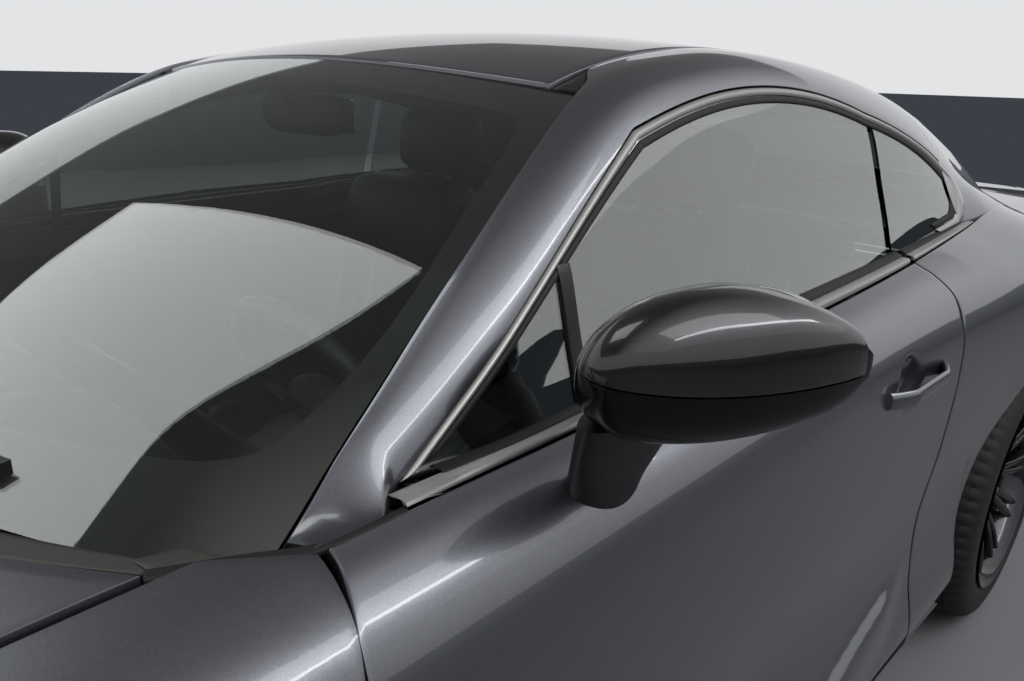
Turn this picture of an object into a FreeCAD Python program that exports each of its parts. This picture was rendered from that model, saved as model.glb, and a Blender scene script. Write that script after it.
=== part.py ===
import FreeCAD, Part
import math
import os

V = FreeCAD.Vector

# Lengths are millimetres. X points forward, Y to the car's left and Z up. The origin is on the
# ground, half way along the car and on its centre line.

# Overall sizes and where the wheels stand
FRONT_AXLE_X = 1526
REAR_AXLE_X = -1225
FRONT_TRACK = 1582
REAR_TRACK = 1620
TYRE_R = 343
FRONT_ARCH_R = 380
REAR_ARCH_R = 425
NOSE_X = 2405
TAIL_X = -2405

# Shut lines and walls of the body
SHUT_GAP = 6
DOOR_FRONT_X = 650
DOOR_REAR_X = -605
SKIN_WALL = 16
DOOR_THICK = 95
DOOR_FRONT_INSET = 95
DOOR_REAR_INSET = 28
ROOF_WALL = 34
GLASS_SET_IN = 3
GLASS_THICK = 6
MOVING_GAP = 6

# Front fender, left. Each row is a cross-section: x, then y and z of the hood's shut line,
# the shoulder, the widest point, the waist, the rocker and the bottom edge.
FENDER_ROWS = (
    (2150, 640, 770, 760, 735, 850, 640, 860, 500, 850, 330, 830, 200),
    (1850, 712, 835, 830, 800, 905, 690, 908, 500, 900, 300, 880, 190),
    (1526, 735, 885, 860, 850, 938, 740, 940, 560, 925, 320, 890, 180),
    (1100, 740, 925, 850, 890, 915, 780, 900, 520, 905, 260, 885, 175),
    (650, 748, 948, 858, 905, 893, 790, 878, 480, 905, 240, 885, 172),
)

# Door and rear quarter, left, in the same columns. Here the first point is the belt line, and
# behind the rear window it is the trunk lid's shut line.
SIDE_ROWS = (
    (650, 795, 942, 858, 905, 893, 790, 878, 480, 905, 240, 885, 172),
    (0, 800, 957, 864, 918, 895, 800, 876, 480, 908, 240, 888, 172),
    (-560, 800, 980, 872, 935, 905, 815, 885, 490, 912, 245, 892, 175),
    (-900, 792, 1004, 895, 952, 932, 825, 910, 530, 922, 275, 895, 178),
    (-1200, 775, 1024, 908, 966, 957, 830, 955, 600, 940, 320, 900, 190),
    (-1700, 735, 953, 872, 905, 930, 800, 925, 600, 905, 350, 870, 210),
    (-2150, 690, 944, 806, 893, 864, 780, 868, 600, 850, 400, 820, 260),
)

# How far each stretch between those points bows outwards, and where the wall's inner line
# runs, as shares of the wall in y and z at each point
SIDE_BOW = (5, 10, 5, -6, 2)
SIDE_INWARD = ((-0.5, -0.9), (-0.8, -0.6), (-1, 0), (-1, 0), (-1, 0), (-1, 0))
# Beside the hood and the trunk lid the panel's edge is turned straight down
LID_SIDE = (0, -1)
ROCKER = 4

# Greenhouse, left half. Each row is x, then y and z of its foot, of the roof rail and of the
# edge of the windshield, roof panel or rear glass, then the height on the centre line.
TOP_ROWS = (
    (1000, 884, 740, 886, 780, 876, 805, 955),
    (800, 812, 800, 815, 853, 803, 879, 1046),
    (643, 768, 850, 760, 900, 745, 926, 1118),
    (400, 792, 888, 743, 1070, 656, 1115, 1226),
    (112, 800, 908, 677, 1246, 550, 1274, 1315),
    (-130, 799, 920, 661, 1286, 552, 1326, 1352),
    (-400, 794, 932, 667, 1278, 552, 1328, 1362),
    (-820, 772, 978, 705, 1182, 560, 1283, 1322),
    (-1200, 764, 998, 700, 1076, 566, 1190, 1232),
    (-1640, 735, 944, 690, 962, 600, 998, 1028),
    (-1688, 732, 942, 686, 958, 600, 986, 1010),
)
RAIL_BOW = 0.10
FOOT_BOW = 0.02

# Hood, left half: x, y and z of its side edge, height on the centre line
HOOD_ROWS = (
    (2240, 600, 752, 786),
    (2150, 634, 771, 812),
    (1850, 706, 836, 882),
    (1526, 729, 886, 938),
    (1100, 734, 926, 982),
    (740, 734, 944, 1000),
    (600, 742, 950, 1004),
)
HOOD_WALL = 24
COWL_DROP = 20
COWL_GAP = 10
COWL_WALL = 16
# The bulkhead under the cowl: x, half width and top
COWL_POST = (985, 250, 976)
# Wipers: height over the glass, width, distance from its lower edge, y of their ends
WIPER_HEIGHT = 10
WIPER_WIDTH = 16
WIPER_PARK = 40
WIPER_SPANS = ((-600, -60), (20, 560))

# Trunk lid top, in the same columns as the hood
DECK_ROWS = (
    (-1694, 729, 950, 984),
    (-1900, 712, 947, 974),
    (-2150, 684, 944, 962),
    (-2372, 640, 948, 960),
)
DECK_WALL = 26
# Shelf behind the rear seat: z, x of its front, half width, top of its rear wall, thickness
DECK_SHELF = (925, -1225, 590, 972, 12)
LID_ARM_Z = 920

# Windshield, roof panel and rear glass seen from above: corner x and y, then centre x
WINDSHIELD_FOOT = (700, 766, 972)
WINDSHIELD_HEAD = (112, 550, 150)
REAR_GLASS_HEAD = (-830, 560, -800)
REAR_GLASS_FOOT = (-1606, 600, -1640)
DECK_EDGE = (-1682, 600, -1685)
HOOD_REAR = (752, 731, 1040)
HOOD_FRONT = (2080, 640, 2200)

# Side window opening seen from the side: x and z of the corners, each with the point that the
# arc to the next corner passes through
WINDOW_ARCS = (
    ((552, 935), (301, 1124)),
    ((128, 1231), (-196, 1280)),
    ((-552, 1239), (-790, 1180)),
    ((-975, 1112), (-1020, 1058)),
    ((-975, 1002), (-205, 964)),
)
WINDOW_SPLIT_X = -548
WINDOW_SPLIT_WIDTH = 26
GLASS_RUN_Z = 905

# Nose, left half, in level slices: z, half width at the fender, corner x and y, x at the centre
NOSE_FACE_X = 2060
NOSE_ROWS = (
    (190, 846, 2262, 600, 2345),
    (320, 866, 2304, 630, 2392),
    (500, 875, 2316, 650, 2405),
    (655, 866, 2296, 640, 2392),
    (757, 785, 2240, 590, 2335),
    (796, 664, 2185, 520, 2290),
)
# Tail, left half, in the same columns
TAIL_FACE_X = -2150
TAIL_ROWS = (
    (262, 820, -2268, 620, -2330),
    (400, 850, -2318, 660, -2392),
    (600, 868, -2338, 680, -2406),
    (790, 864, -2332, 665, -2400),
    (905, 800, -2316, 620, -2388),
    (958, 690, -2300, 560, -2374),
)
FASCIA_WALL = 30
BUMPER_TOP_Z = 620
REAR_BUMPER_TOP_Z = 640
# Openings in the nose: low z, high z, half width, then x of the bars at their ends and middle
GRILLE = (420, 640, 505, 2312, 2368)
INTAKE = (215, 350, 480, 2268, 2322)
GRILLE_BAR = 10
GRILLE_BAR_DEPTH = 30
# Lamps: low z, high z and inner y. The lid's skirt: low z, half width, low z and half width of
# the strip over the lamps
LAMP = (640, 745, 560)
TAIL_LAMP = (745, 890, 330)
LID_SKIRT = (670, 322, 900, 640)
LAMP_DEPTH = 90

# Sills and floor
SILL_FRONT_X = 1100
SILL_REAR_X = -780
SILL_IN_Y = 720
SILL_TOP_Z = 232
FLOOR_Z = 172
FLOOR_WALL = 20
TUNNEL_W = 130
TUNNEL_Z = 330
LIFT_PAD_X = (720, -640)
LIFT_PAD_Y = 760
LIFT_PAD_R = 30
LIFT_PAD_DROP = 10
KICK_X = -560
REAR_FLOOR_Z = 392
REAR_FLOOR_W = 640
REAR_WALL_Z = 905
FIREWALL_X = 1030
FIREWALL_WALL = 24
PILLAR_Y = (700, 790)
HINGE_PILLAR_X = (545, 628)
SHELF_X = 716
SHELF_Z = 864
LATCH_PILLAR_X = (-720, -640)
RAIL_Y = (340, 425)
RAIL_Z = (330, 450)
TOWER_Z = 800
PLATE = 16

# Hinges: centre x and y or z of the pins, their places and sizes
DOOR_HINGE_X = 592
DOOR_HINGE_Y = 883
DOOR_HINGE_Z = (300, 790)
PIN_R = 4
PIN_CLEAR = 0.08
PIN_HALF = 26
ARM_HALF = 8
ARM_WIDTH = 10
HOOD_HINGE = (815, 700)
LID_HINGE = (-1716, 200)
PIN_DEPTH = 12

# Wheels, seen along their axle
HUB_FACE = 44
HUB_THICK = 26
HUB_R = 82
SPINDLE_R = 22
SPOKES = 10
DISC_R = 176
DISC_THICK = 28
HAT_R = 74

# Knuckles and suspension
KINGPIN_Y = 735
KNUCKLE_Z = (192.5, 507.5)
BALL_R = 10
LOWER_ARM_Z = (170, 192)
UPPER_ARM_Z = (508, 526)
REAR_KNUCKLE_Y = (735, 790)

# Cabin
SEAT_Y = 372
SEAT_WIDTH = 470
WHEEL_HUB = (352, 372, 838)
STEER_R = 178
STEER_TUBE = 14
STEER_TILT = 26
MIRROR_BASE_X = (350, 432)
# Steering column: start of its tube and end, along the column from the wheel's hub
COLUMN = (40, 330)
SHAFT_R = 11

# Door mirror, left, in sections across the car: y, then x and z of its limits
MIRROR_ROWS = (
    (866, 300, 400, 990, 1092),
    (900, 262, 458, 966, 1120),
    (960, 250, 402, 962, 1120),
    (1010, 246, 336, 984, 1108),
    (1036, 244, 282, 1030, 1084),
)

# Door handle: x of the strap's ends, y of its feet and of its middle, its low and high z and
# its thickness
HANDLE = (-345, -545, 888, 922, 820, 850, 10)

# Wheel profiles: radius and distance from the wheel's middle plane, outboard positive
RIM_PROFILE = ((250, -130), (250, -121), (241, -116), (241, -84), (228, -62), (228, 62), (241, 96),
               (241, 116), (250, 121), (250, 130), (237, 130), (227, 98), (214, 64), (214, -64),
               (227, -86), (227, -120), (236, -130))
TYRE_PROFILE = ((241.4, -115.2), (250.6, -120.2), (257, -125), (290, -127.5), (318, -122), (334, -108),
                (341, -88), (343, 0), (341, 88), (334, 108), (318, 122), (290, 127.5), (257, 125),
                (250.6, 120.2), (241.4, 115.2), (241.4, 104), (256, 108), (290, 114), (322, 96),
                (330, 0), (322, -96), (290, -114), (256, -108), (241.4, -104))
SPOKE_PROFILE = ((62, HUB_FACE), (62, HUB_FACE + HUB_THICK), (150, 98), (232, 124), (232, 104),
                 (150, 70))


def box(x0, x1, y0, y1, z0, z1):
    return Part.makeBox(x1 - x0, y1 - y0, z1 - z0, V(x0, y0, z0))


def along_y(radius, x, z, y0, y1):
    return Part.makeCylinder(radius, y1 - y0, V(x, y0, z), V(0, 1, 0))


def upright(radius, x, y, z0, z1):
    return Part.makeCylinder(radius, z1 - z0, V(x, y, z0), V(0, 0, 1))


def mirrored(shape):
    return shape.mirror(V(0, 0, 0), V(0, 1, 0))


def joined(shapes):
    if len(shapes) == 1:
        return shapes[0]
    return shapes[0].multiFuse(shapes[1:]).removeSplitter()


def largest(shape):
    return max(shape.Solids, key=lambda solid: solid.Volume)


def both_sides(left):
    return Part.makeCompound([left, mirrored(left)])


def row_at(rows, x):
    """Values of a table at x, on a smooth curve through its rows."""
    ordered = sorted(rows)
    x = min(max(x, ordered[0][0]), ordered[-1][0])
    i = 0
    while x > ordered[i + 1][0]:
        i += 1
    slopes = []
    for a, b in zip(ordered, ordered[1:]):
        slopes.append([(q - p) / (b[0] - a[0]) for p, q in zip(a[1:], b[1:])])
    here, there = ordered[i], ordered[i + 1]
    step = there[0] - here[0]
    t = (x - here[0]) / step
    values = []
    for k in range(len(here) - 1):
        mid = slopes[i][k]
        start = mid if i == 0 else (slopes[i - 1][k] + mid) / 2
        end = mid if i == len(slopes) - 1 else (mid + slopes[i + 1][k]) / 2
        values.append((2 * t**3 - 3 * t**2 + 1) * here[k + 1] + (t**3 - 2 * t**2 + t) * step * start
                      + (3 * t**2 - 2 * t**3) * there[k + 1] + (t**3 - t**2) * step * end)
    return values


def bowed(p, q, bow):
    """Point in a section half way from p to q, moved outwards by bow."""
    dy, dz = q[0] - p[0], q[1] - p[1]
    run = math.hypot(dy, dz)
    return ((p[0] + q[0]) / 2 - dz / run * bow, (p[1] + q[1]) / 2 + dy / run * bow)


def arc_in(x, p, via, q):
    return Part.Arc(V(x, *p), V(x, *via), V(x, *q)).toShape()


def line_in(x, p, q):
    return Part.LineSegment(V(x, *p), V(x, *q)).toShape()


def side_points(rows, x):
    flat = row_at(rows, x)
    return list(zip(flat[0::2], flat[1::2]))


def side_wire(rows, x, outside, inside, last, top_way):
    """Closed section of the body side at x, between two depths under its skin."""
    points = side_points(rows, x)[:last + 1]
    ways = (top_way,) + SIDE_INWARD[1:]
    outer = [(y + dy * outside, z + dz * outside) for (y, z), (dy, dz) in zip(points, ways)]
    inner = [(y + dy * inside, z + dz * inside) for (y, z), (dy, dz) in zip(points, ways)]
    edges = []
    for k in range(last):
        edges.append(arc_in(x, outer[k], bowed(outer[k], outer[k + 1], SIDE_BOW[k]), outer[k + 1]))
    edges.append(line_in(x, outer[last], inner[last]))
    for k in reversed(range(last)):
        edges.append(arc_in(x, inner[k + 1], bowed(inner[k], inner[k + 1], SIDE_BOW[k]), inner[k]))
    edges.append(line_in(x, inner[0], outer[0]))
    return Part.Wire(edges)


def side_loft(rows, places, outside, inside, last, top_way=SIDE_INWARD[0]):
    wires = [side_wire(rows, x, outside, inside, last, top_way) for x in places]
    return Part.makeLoft(wires, True, False)


def dome_wire(row, depth):
    """Full-width section of the greenhouse, set in by depth."""
    x, fy, fz, ry, rz, ey, ez, crown = row
    foot = (fy - depth, fz - 0.6 * depth)
    rail = (ry - 0.9 * depth, rz - 0.4 * depth)
    edge = (ey - 0.3 * depth, ez - 0.95 * depth)
    low = bowed(rail, foot, FOOT_BOW * math.dist(rail, foot))
    high = bowed(edge, rail, RAIL_BOW * math.dist(edge, rail))

    def far(p):
        return (-p[0], p[1])

    return Part.Wire([
        arc_in(x, foot, low, rail),
        arc_in(x, rail, high, edge),
        arc_in(x, edge, (0, crown - depth), far(edge)),
        arc_in(x, far(edge), far(high), far(rail)),
        arc_in(x, far(rail), far(low), far(foot)),
        line_in(x, far(foot), foot),
    ])


def dome(depth):
    return Part.makeLoft([dome_wire(row, depth) for row in TOP_ROWS], True, False)


def lid_loft(rows, places, drop, wall):
    """Crowned panel: full-width sections with an arc above and an arc below."""
    wires = []
    for x in places:
        y, z, crown = row_at(rows, x)
        z -= drop
        crown -= drop
        wires.append(Part.Wire([
            arc_in(x, (y, z), (0, crown), (-y, z)),
            line_in(x, (-y, z), (-y, z - wall)),
            arc_in(x, (-y, z - wall), (0, crown - wall), (y, z - wall)),
            line_in(x, (y, z - wall), (y, z)),
        ]))
    return Part.makeLoft(wires, True, False)


def plan_edge(ends, z):
    """Arc across the car, given as corner x and y and centre x."""
    corner_x, corner_y, centre_x = ends
    return Part.Arc(V(corner_x, -corner_y, z), V(centre_x, 0, z), V(corner_x, corner_y, z)).toShape()


def plan_prism(front, rear, low, high, spread=0):
    """Everything between two arcs across the car, with its sides moved out by spread."""
    edges = [plan_edge(front, low), plan_edge(rear, low)]
    for side in (1, -1):
        points = [V(front[0], side * front[1], low), V(rear[0], side * rear[1], low)]
        if spread:
            points.insert(1, V(front[0], side * spread, low))
            points.insert(2, V(rear[0], side * spread, low))
        for p, q in zip(points, points[1:]):
            edges.append(Part.LineSegment(p, q).toShape())
    wire = Part.Wire(Part.__sortEdges__(edges))
    return Part.Face(wire).extrude(V(0, 0, high - low))


def window_prism(grow, y0, y1):
    """The side window opening, widened by grow, as a bar across one side."""
    centre = (sum(p[0][0] for p in WINDOW_ARCS) / 5, sum(p[0][1] for p in WINDOW_ARCS) / 5)

    def moved(p):
        dx, dz = p[0] - centre[0], p[1] - centre[1]
        return V(p[0] + grow * dx / abs(dx), y0, p[1] + grow * dz / abs(dz))

    edges = []
    for k, (corner, via) in enumerate(WINDOW_ARCS):
        end = WINDOW_ARCS[(k + 1) % len(WINDOW_ARCS)][0]
        edges.append(Part.Arc(moved(corner), moved(via), moved(end)).toShape())
    return Part.Face(Part.Wire(edges)).extrude(V(0, y1 - y0, 0))


def end_wire(row, face_x, wall):
    """Level slice of the nose or tail, set in by wall."""
    z, half, corner_x, corner_y, tip_x = row
    way = 1 if tip_x > 0 else -1
    half -= wall
    corner = (corner_x - way * 0.8 * wall, corner_y - 0.4 * wall)
    tip = tip_x - way * wall
    start = V(face_x, half, z)
    turn = V(corner[0], corner[1], z)
    mid = V((face_x + corner[0]) / 2 + way * 26, (half + corner[1]) / 2 + 42, z)
    other = [V(p.x, -p.y, p.z) for p in (start, mid, turn)]
    return Part.Wire([
        Part.Arc(start, mid, turn).toShape(),
        Part.Arc(turn, V(tip, 0, z), other[2]).toShape(),
        Part.Arc(other[2], other[1], other[0]).toShape(),
        Part.LineSegment(other[0], start).toShape(),
    ])


def end_loft(rows, face_x, wall):
    """Nose or tail form set in by wall at its sides and under its top."""
    top_z = rows[-1][0] - wall
    rows = list(rows[:-1]) + [(top_z,) + rows[-1][1:]]
    return Part.makeLoft([end_wire(row, face_x, wall) for row in rows], True, False)


parts = {}


def add(name, shape):
    parts[name] = shape
    volume = round(shape.Volume / 1e6, 3)
    print(name, "valid" if shape.isValid() else "NOT VALID", "solids", len(shape.Solids), "litres", volume)


# Glass house: shell, windshield, roof panel and rear glass
outer_dome = dome(0)
shell = outer_dome.cut(dome(ROOF_WALL))
glass_shell = dome(GLASS_SET_IN).cut(dome(GLASS_SET_IN + GLASS_THICK))
windshield_plan = plan_prism(WINDSHIELD_FOOT, WINDSHIELD_HEAD, 700, 1500)
roof_plan = plan_prism(WINDSHIELD_HEAD, REAR_GLASS_HEAD, 900, 1500)
rear_glass_plan = plan_prism(REAR_GLASS_HEAD, REAR_GLASS_FOOT, 900, 1500)
deck_plan = plan_prism(REAR_GLASS_FOOT, DECK_EDGE, 900, 1500)
middle_plans = [windshield_plan, roof_plan, rear_glass_plan, deck_plan]

windshield = largest(glass_shell.common(windshield_plan))
rear_glass = largest(glass_shell.common(rear_glass_plan))
add("windshield", windshield)
add("rear_glass", rear_glass)
roof = largest(shell.common(roof_plan))
add("roof", roof)

# Rear quarter panel and side frame, left: the frame holds the pillars and the roof rail
quarter_places = (DOOR_REAR_X - SHUT_GAP / 2, -900, -1200, -1700, TAIL_FACE_X)
rear_arch = along_y(REAR_ARCH_R, REAR_AXLE_X, TYRE_R, 600, 1100)
quarter = side_loft(SIDE_ROWS, quarter_places, 0, SKIN_WALL, 5, LID_SIDE)
quarter = largest(quarter.cut([rear_arch, box(SILL_REAR_X, 0, 600, 1100, 0, SILL_TOP_Z)]))
add("quarter_panels", both_sides(quarter))

frame = shell.common(box(DECK_EDGE[0] - 20, WINDSHIELD_FOOT[0], 0, 900, 700, 1500))
door_zone = box(DOOR_REAR_X - SHUT_GAP / 2, WINDOW_ARCS[0][0][0] + SHUT_GAP, 600, 1000, 700, 990)
frame = largest(frame.cut(middle_plans + [window_prism(0, 300, 1000), door_zone]))
side_frame = largest(frame.cut(quarter))
add("side_frames", both_sides(side_frame))

# Side glass: one pane in the door, run down inside it, and a fixed one behind it
left_glass = glass_shell.common(box(-1100, WINDSHIELD_FOOT[0], 0, 900, 700, 1500)).cut(middle_plans)
window_box = box(-1100, WINDOW_SPLIT_X - WINDOW_SPLIT_WIDTH, 300, 900, 900, 1300)
quarter_glass = largest(left_glass.common(window_prism(0, 300, 1000)).common(window_box))
add("quarter_glass", both_sides(quarter_glass))
pane_low = box(WINDOW_SPLIT_X, WINDOW_ARCS[0][0][0] - 30, 300, 900, GLASS_RUN_Z, 975)
pane_zone = window_prism(-MOVING_GAP, 300, 1000).common(box(WINDOW_SPLIT_X, 600, 300, 1000, 900, 1300))
door_pane = largest(left_glass.common(pane_zone.fuse(pane_low)))

# Sill, left
sill_places = (SILL_FRONT_X, 650, 0, -560, SILL_REAR_X)


def sill_wire(x):
    rows = FENDER_ROWS if x > DOOR_FRONT_X else SIDE_ROWS
    points = side_points(rows, x)
    corners = [V(x, points[ROCKER][0], SILL_TOP_Z), V(x, *points[5]), V(x, SILL_IN_Y, FLOOR_Z),
               V(x, SILL_IN_Y, SILL_TOP_Z)]
    return Part.makePolygon(corners + corners[:1])


sill = Part.makeLoft([sill_wire(x) for x in sill_places], True, True)
for x in LIFT_PAD_X:
    sill = sill.fuse(upright(LIFT_PAD_R, x, LIFT_PAD_Y, FLOOR_Z - LIFT_PAD_DROP, FLOOR_Z + FLOOR_WALL))
add("side_sills", both_sides(sill))

# Front fender, left
fender_places = (DOOR_FRONT_X + SHUT_GAP / 2, 860, 1100, 1526, 1850, NOSE_FACE_X - SHUT_GAP)
front_arch = along_y(FRONT_ARCH_R, FRONT_AXLE_X, TYRE_R, 600, 1100)
fender = side_loft(FENDER_ROWS, fender_places, 0, SKIN_WALL, 5, LID_SIDE)
below_nose = box(FRONT_AXLE_X, NOSE_X, 600, 1100, 0, BUMPER_TOP_Z + SHUT_GAP / 2)
fender = largest(fender.cut([front_arch, below_nose, box(0, SILL_FRONT_X, 600, 1100, 0, SILL_TOP_Z)]))
add("front_fenders", both_sides(fender))

# Nose: bumper skin with its openings, grille and headlamps
nose = end_loft(NOSE_ROWS, NOSE_FACE_X, 0)
nose_inner = end_loft(NOSE_ROWS, NOSE_FACE_X, FASCIA_WALL)
hood_clear = (HOOD_FRONT[0] + SHUT_GAP, HOOD_FRONT[1], HOOD_FRONT[2] + SHUT_GAP)
hood_gap = plan_prism(hood_clear, (NOSE_FACE_X - 100, 890, NOSE_FACE_X - 110), 700, 900, 900)
lamp_box = box(NOSE_FACE_X, NOSE_X + 10, LAMP[2], 1000, LAMP[0], LAMP[1])
nose_cuts = [hood_gap, lamp_box, mirrored(lamp_box)]
for low, high, half, bar_end, bar_middle in (GRILLE, INTAKE):
    nose_cuts.append(box(2150, NOSE_X + 10, -half, half, low, high))
apron_x = FRONT_AXLE_X + FRONT_ARCH_R + SHUT_GAP
apron = side_loft(FENDER_ROWS, (NOSE_FACE_X + 1, 1980, apron_x), 0, SKIN_WALL, 5)
apron = largest(apron.cut([box(1800, NOSE_X, 600, 1100, BUMPER_TOP_Z - SHUT_GAP / 2, 1000), front_arch]))
bumper = largest(nose.cut(nose_inner).cut(nose_cuts))
bumper = joined([bumper, apron, mirrored(apron)])
exhaust_tips = [(-470, 300), (470, 300)]
add("front_bumper", bumper)
headlamp = nose.common(lamp_box)
headlamp = largest(headlamp.cut(headlamp.translated(V(-LAMP_DEPTH, -LAMP_DEPTH / 3, 0))))
headlamp = largest(headlamp.cut(hood_gap))
add("headlamps", both_sides(headlamp))

post_x = (INTAKE[4] - GRILLE_BAR_DEPTH / 2, GRILLE[4] - GRILLE_BAR_DEPTH / 2)
grille = [box(post_x[0], post_x[1], -GRILLE_BAR, GRILLE_BAR, INTAKE[0] + 10, GRILLE[1] - 10)]
for (low, high, half, bar_end, bar_middle), count in ((GRILLE, 5), (INTAKE, 3)):
    pitch = (high - low) / count
    half += FASCIA_WALL
    depth = GRILLE_BAR_DEPTH
    for k in range(count):
        z = low + (k + 0.5) * pitch - GRILLE_BAR / 2
        edges = [
            Part.Arc(V(bar_end, -half, z), V(bar_middle, 0, z), V(bar_end, half, z)).toShape(),
            Part.LineSegment(V(bar_end, half, z), V(bar_end - depth, half, z)).toShape(),
            Part.Arc(V(bar_end - depth, half, z), V(bar_middle - depth, 0, z),
                     V(bar_end - depth, -half, z)).toShape(),
            Part.LineSegment(V(bar_end - depth, -half, z), V(bar_end, -half, z)).toShape(),
        ]
        grille.append(Part.Face(Part.Wire(edges)).extrude(V(0, 0, GRILLE_BAR)))
add("grille", largest(joined(grille).cut(bumper)))

# Tail: bumper skin, panel above it, lamps and the trunk lid that closes between them
tail = end_loft(TAIL_ROWS, TAIL_FACE_X, 0)
tail_skin = tail.cut(end_loft(TAIL_ROWS, TAIL_FACE_X, FASCIA_WALL))
back_x = TAIL_X - 10
edge_x = TAIL_FACE_X - 60
low_half = box(back_x, TAIL_FACE_X, -1000, 1000, 0, REAR_BUMPER_TOP_Z - SHUT_GAP / 2)
pipe_holes = [Part.makeCylinder(52, 500, V(back_x, y, z), V(1, 0, 0)) for y, z in exhaust_tips]
add("rear_bumper", largest(tail_skin.common(low_half).cut(pipe_holes)))
skirt_z, skirt_half, strip_z, strip_half = LID_SKIRT
tail_lamp_box = box(back_x, edge_x, TAIL_LAMP[2], 900, TAIL_LAMP[0], TAIL_LAMP[1])
gap = SHUT_GAP
tail_panel = tail_skin.cut([
    box(back_x, TAIL_FACE_X, -1000, 1000, 0, REAR_BUMPER_TOP_Z + gap / 2),
    box(back_x, edge_x, -skirt_half - gap, skirt_half + gap, skirt_z - gap, 1200),
    box(back_x, TAIL_FACE_X, -strip_half - gap, strip_half + gap, strip_z - gap, 1200),
    box(back_x, TAIL_FACE_X, -1000, 1000, DECK_ROWS[-2][2] - DECK_WALL - gap, 1200),
    tail_lamp_box, mirrored(tail_lamp_box)])
add("tail_panel", largest(tail_panel))
tail_lamp = tail.common(tail_lamp_box)
tail_lamp = largest(tail_lamp.cut(tail_lamp.translated(V(LAMP_DEPTH, 0, 0))))
add("tail_lamps", both_sides(tail_lamp))
lid_skirt = tail_skin.common(box(back_x, edge_x, -skirt_half, skirt_half, skirt_z, 1200))
lid_strip = tail_skin.common(box(back_x, edge_x, -strip_half, strip_half, strip_z, 1200))
lid_top = lid_loft(DECK_ROWS, [row[0] for row in DECK_ROWS], 0, DECK_WALL)
tail_plan = Part.Face(end_wire(TAIL_ROWS[-1], TAIL_FACE_X, 0)).extrude(V(0, 0, 100))
tail_plan.translate(V(0, 0, -50))
lid_top = lid_top.common(tail_plan.fuse(box(TAIL_FACE_X, -1600, -900, 900, 900, 1200)))
trunk_lid = joined([largest(lid_top), largest(lid_skirt), largest(lid_strip)])

# Hood and cowl
hood_places = [row[0] for row in HOOD_ROWS[:-1]]
hood = lid_loft(HOOD_ROWS, hood_places, 0, HOOD_WALL)
hood = largest(hood.common(plan_prism(HOOD_FRONT, HOOD_REAR, 600, 1300, 900)))
cowl = lid_loft(HOOD_ROWS, (1100, 900, 740, 600), COWL_DROP, COWL_WALL)
cowl_front = (HOOD_REAR[0] - COWL_GAP, HOOD_REAR[1], HOOD_REAR[2] - COWL_GAP)
cowl = largest(cowl.common(plan_prism(cowl_front, WINDSHIELD_FOOT, 600, 1300, 0)))
add("cowl", cowl)

# Wipers lie on the windshield near its foot
foot_x, foot_y, foot_tip = WINDSHIELD_FOOT
wiper_layer = dome(-WIPER_HEIGHT).cut(dome(GLASS_SET_IN)).common(box(600, foot_tip, -700, 700, 900, 1200))
wiper_band = plan_prism((foot_x - WIPER_PARK, foot_y, foot_tip - WIPER_PARK),
                        (foot_x - WIPER_PARK - WIPER_WIDTH, foot_y, foot_tip - WIPER_PARK - WIPER_WIDTH),
                        700, 1300)
wipers = []
for y_from, y_to in WIPER_SPANS:
    reach = box(600, foot_tip, y_from, y_to, 800, 1300)
    wipers.append(largest(wiper_layer.common(wiper_band).common(reach)))
add("wipers", Part.makeCompound(wipers))

# Shelf behind the rear seat, joined to the strip between rear glass and trunk lid
wall_x = DECK_EDGE[0] + 4
rear_deck = joined([
    largest(shell.common(deck_plan)),
    box(wall_x, wall_x + PLATE, -DECK_SHELF[2], DECK_SHELF[2], DECK_SHELF[0], DECK_SHELF[3]),
    box(wall_x, DECK_SHELF[1], -DECK_SHELF[2], DECK_SHELF[2], DECK_SHELF[0], DECK_SHELF[0] + DECK_SHELF[4]),
])

# Door, left: a skin to the shut lines and a thick body set in from its edges
door_front = DOOR_FRONT_X - SHUT_GAP / 2
door_rear = DOOR_REAR_X + SHUT_GAP / 2
door_skin = side_loft(SIDE_ROWS, (door_front, 300, 0, -300, door_rear), 0, SKIN_WALL, ROCKER)
body_places = (door_front - DOOR_FRONT_INSET, 300, 0, -300, door_rear + DOOR_REAR_INSET)
door_body = side_loft(SIDE_ROWS, body_places, SKIN_WALL - 2, DOOR_THICK, ROCKER)
door = joined([door_skin, door_body])
door_arms = []
for z in DOOR_HINGE_Z:
    x, y = DOOR_HINGE_X, DOOR_HINGE_Y
    pocket = box(x - 9, x + 36, y - 40, y + 7, z - ARM_HALF - 5, z + ARM_HALF + 5)
    bore = upright(PIN_R + PIN_CLEAR, x, y, z - PIN_HALF - 3, z + PIN_HALF + 3)
    door = door.cut([pocket, bore])
    arm = box(x - ARM_WIDTH / 2, x + ARM_WIDTH / 2, PILLAR_Y[1] - 5, y, z - ARM_HALF, z + ARM_HALF)
    door_arms.append(joined([arm, upright(PIN_R, x, y, z - PIN_HALF, z + PIN_HALF)]))
door = largest(door.cut(door_pane))



def oval(place, low_u, high_u, low_v, high_v):
    """Closed round-cornered section. place turns its two coordinates into a point."""
    mid_u, mid_v = (low_u + high_u) / 2, (low_v + high_v) / 2
    half_u, half_v = (high_u - low_u) / 2, (high_v - low_v) / 2
    edges = []
    for su, sv, turn in ((1, 1, 0), (-1, 1, 1), (-1, -1, 0), (1, -1, 1)):
        a = (mid_u + su * half_u, mid_v)
        b = (mid_u, mid_v + sv * half_v)
        if turn:
            a, b = b, a
        via = (mid_u + su * half_u * 0.78, mid_v + sv * half_v * 0.78)
        edges.append(Part.Arc(place(*a), place(*via), place(*b)).toShape())
    return Part.Wire(edges)


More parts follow.
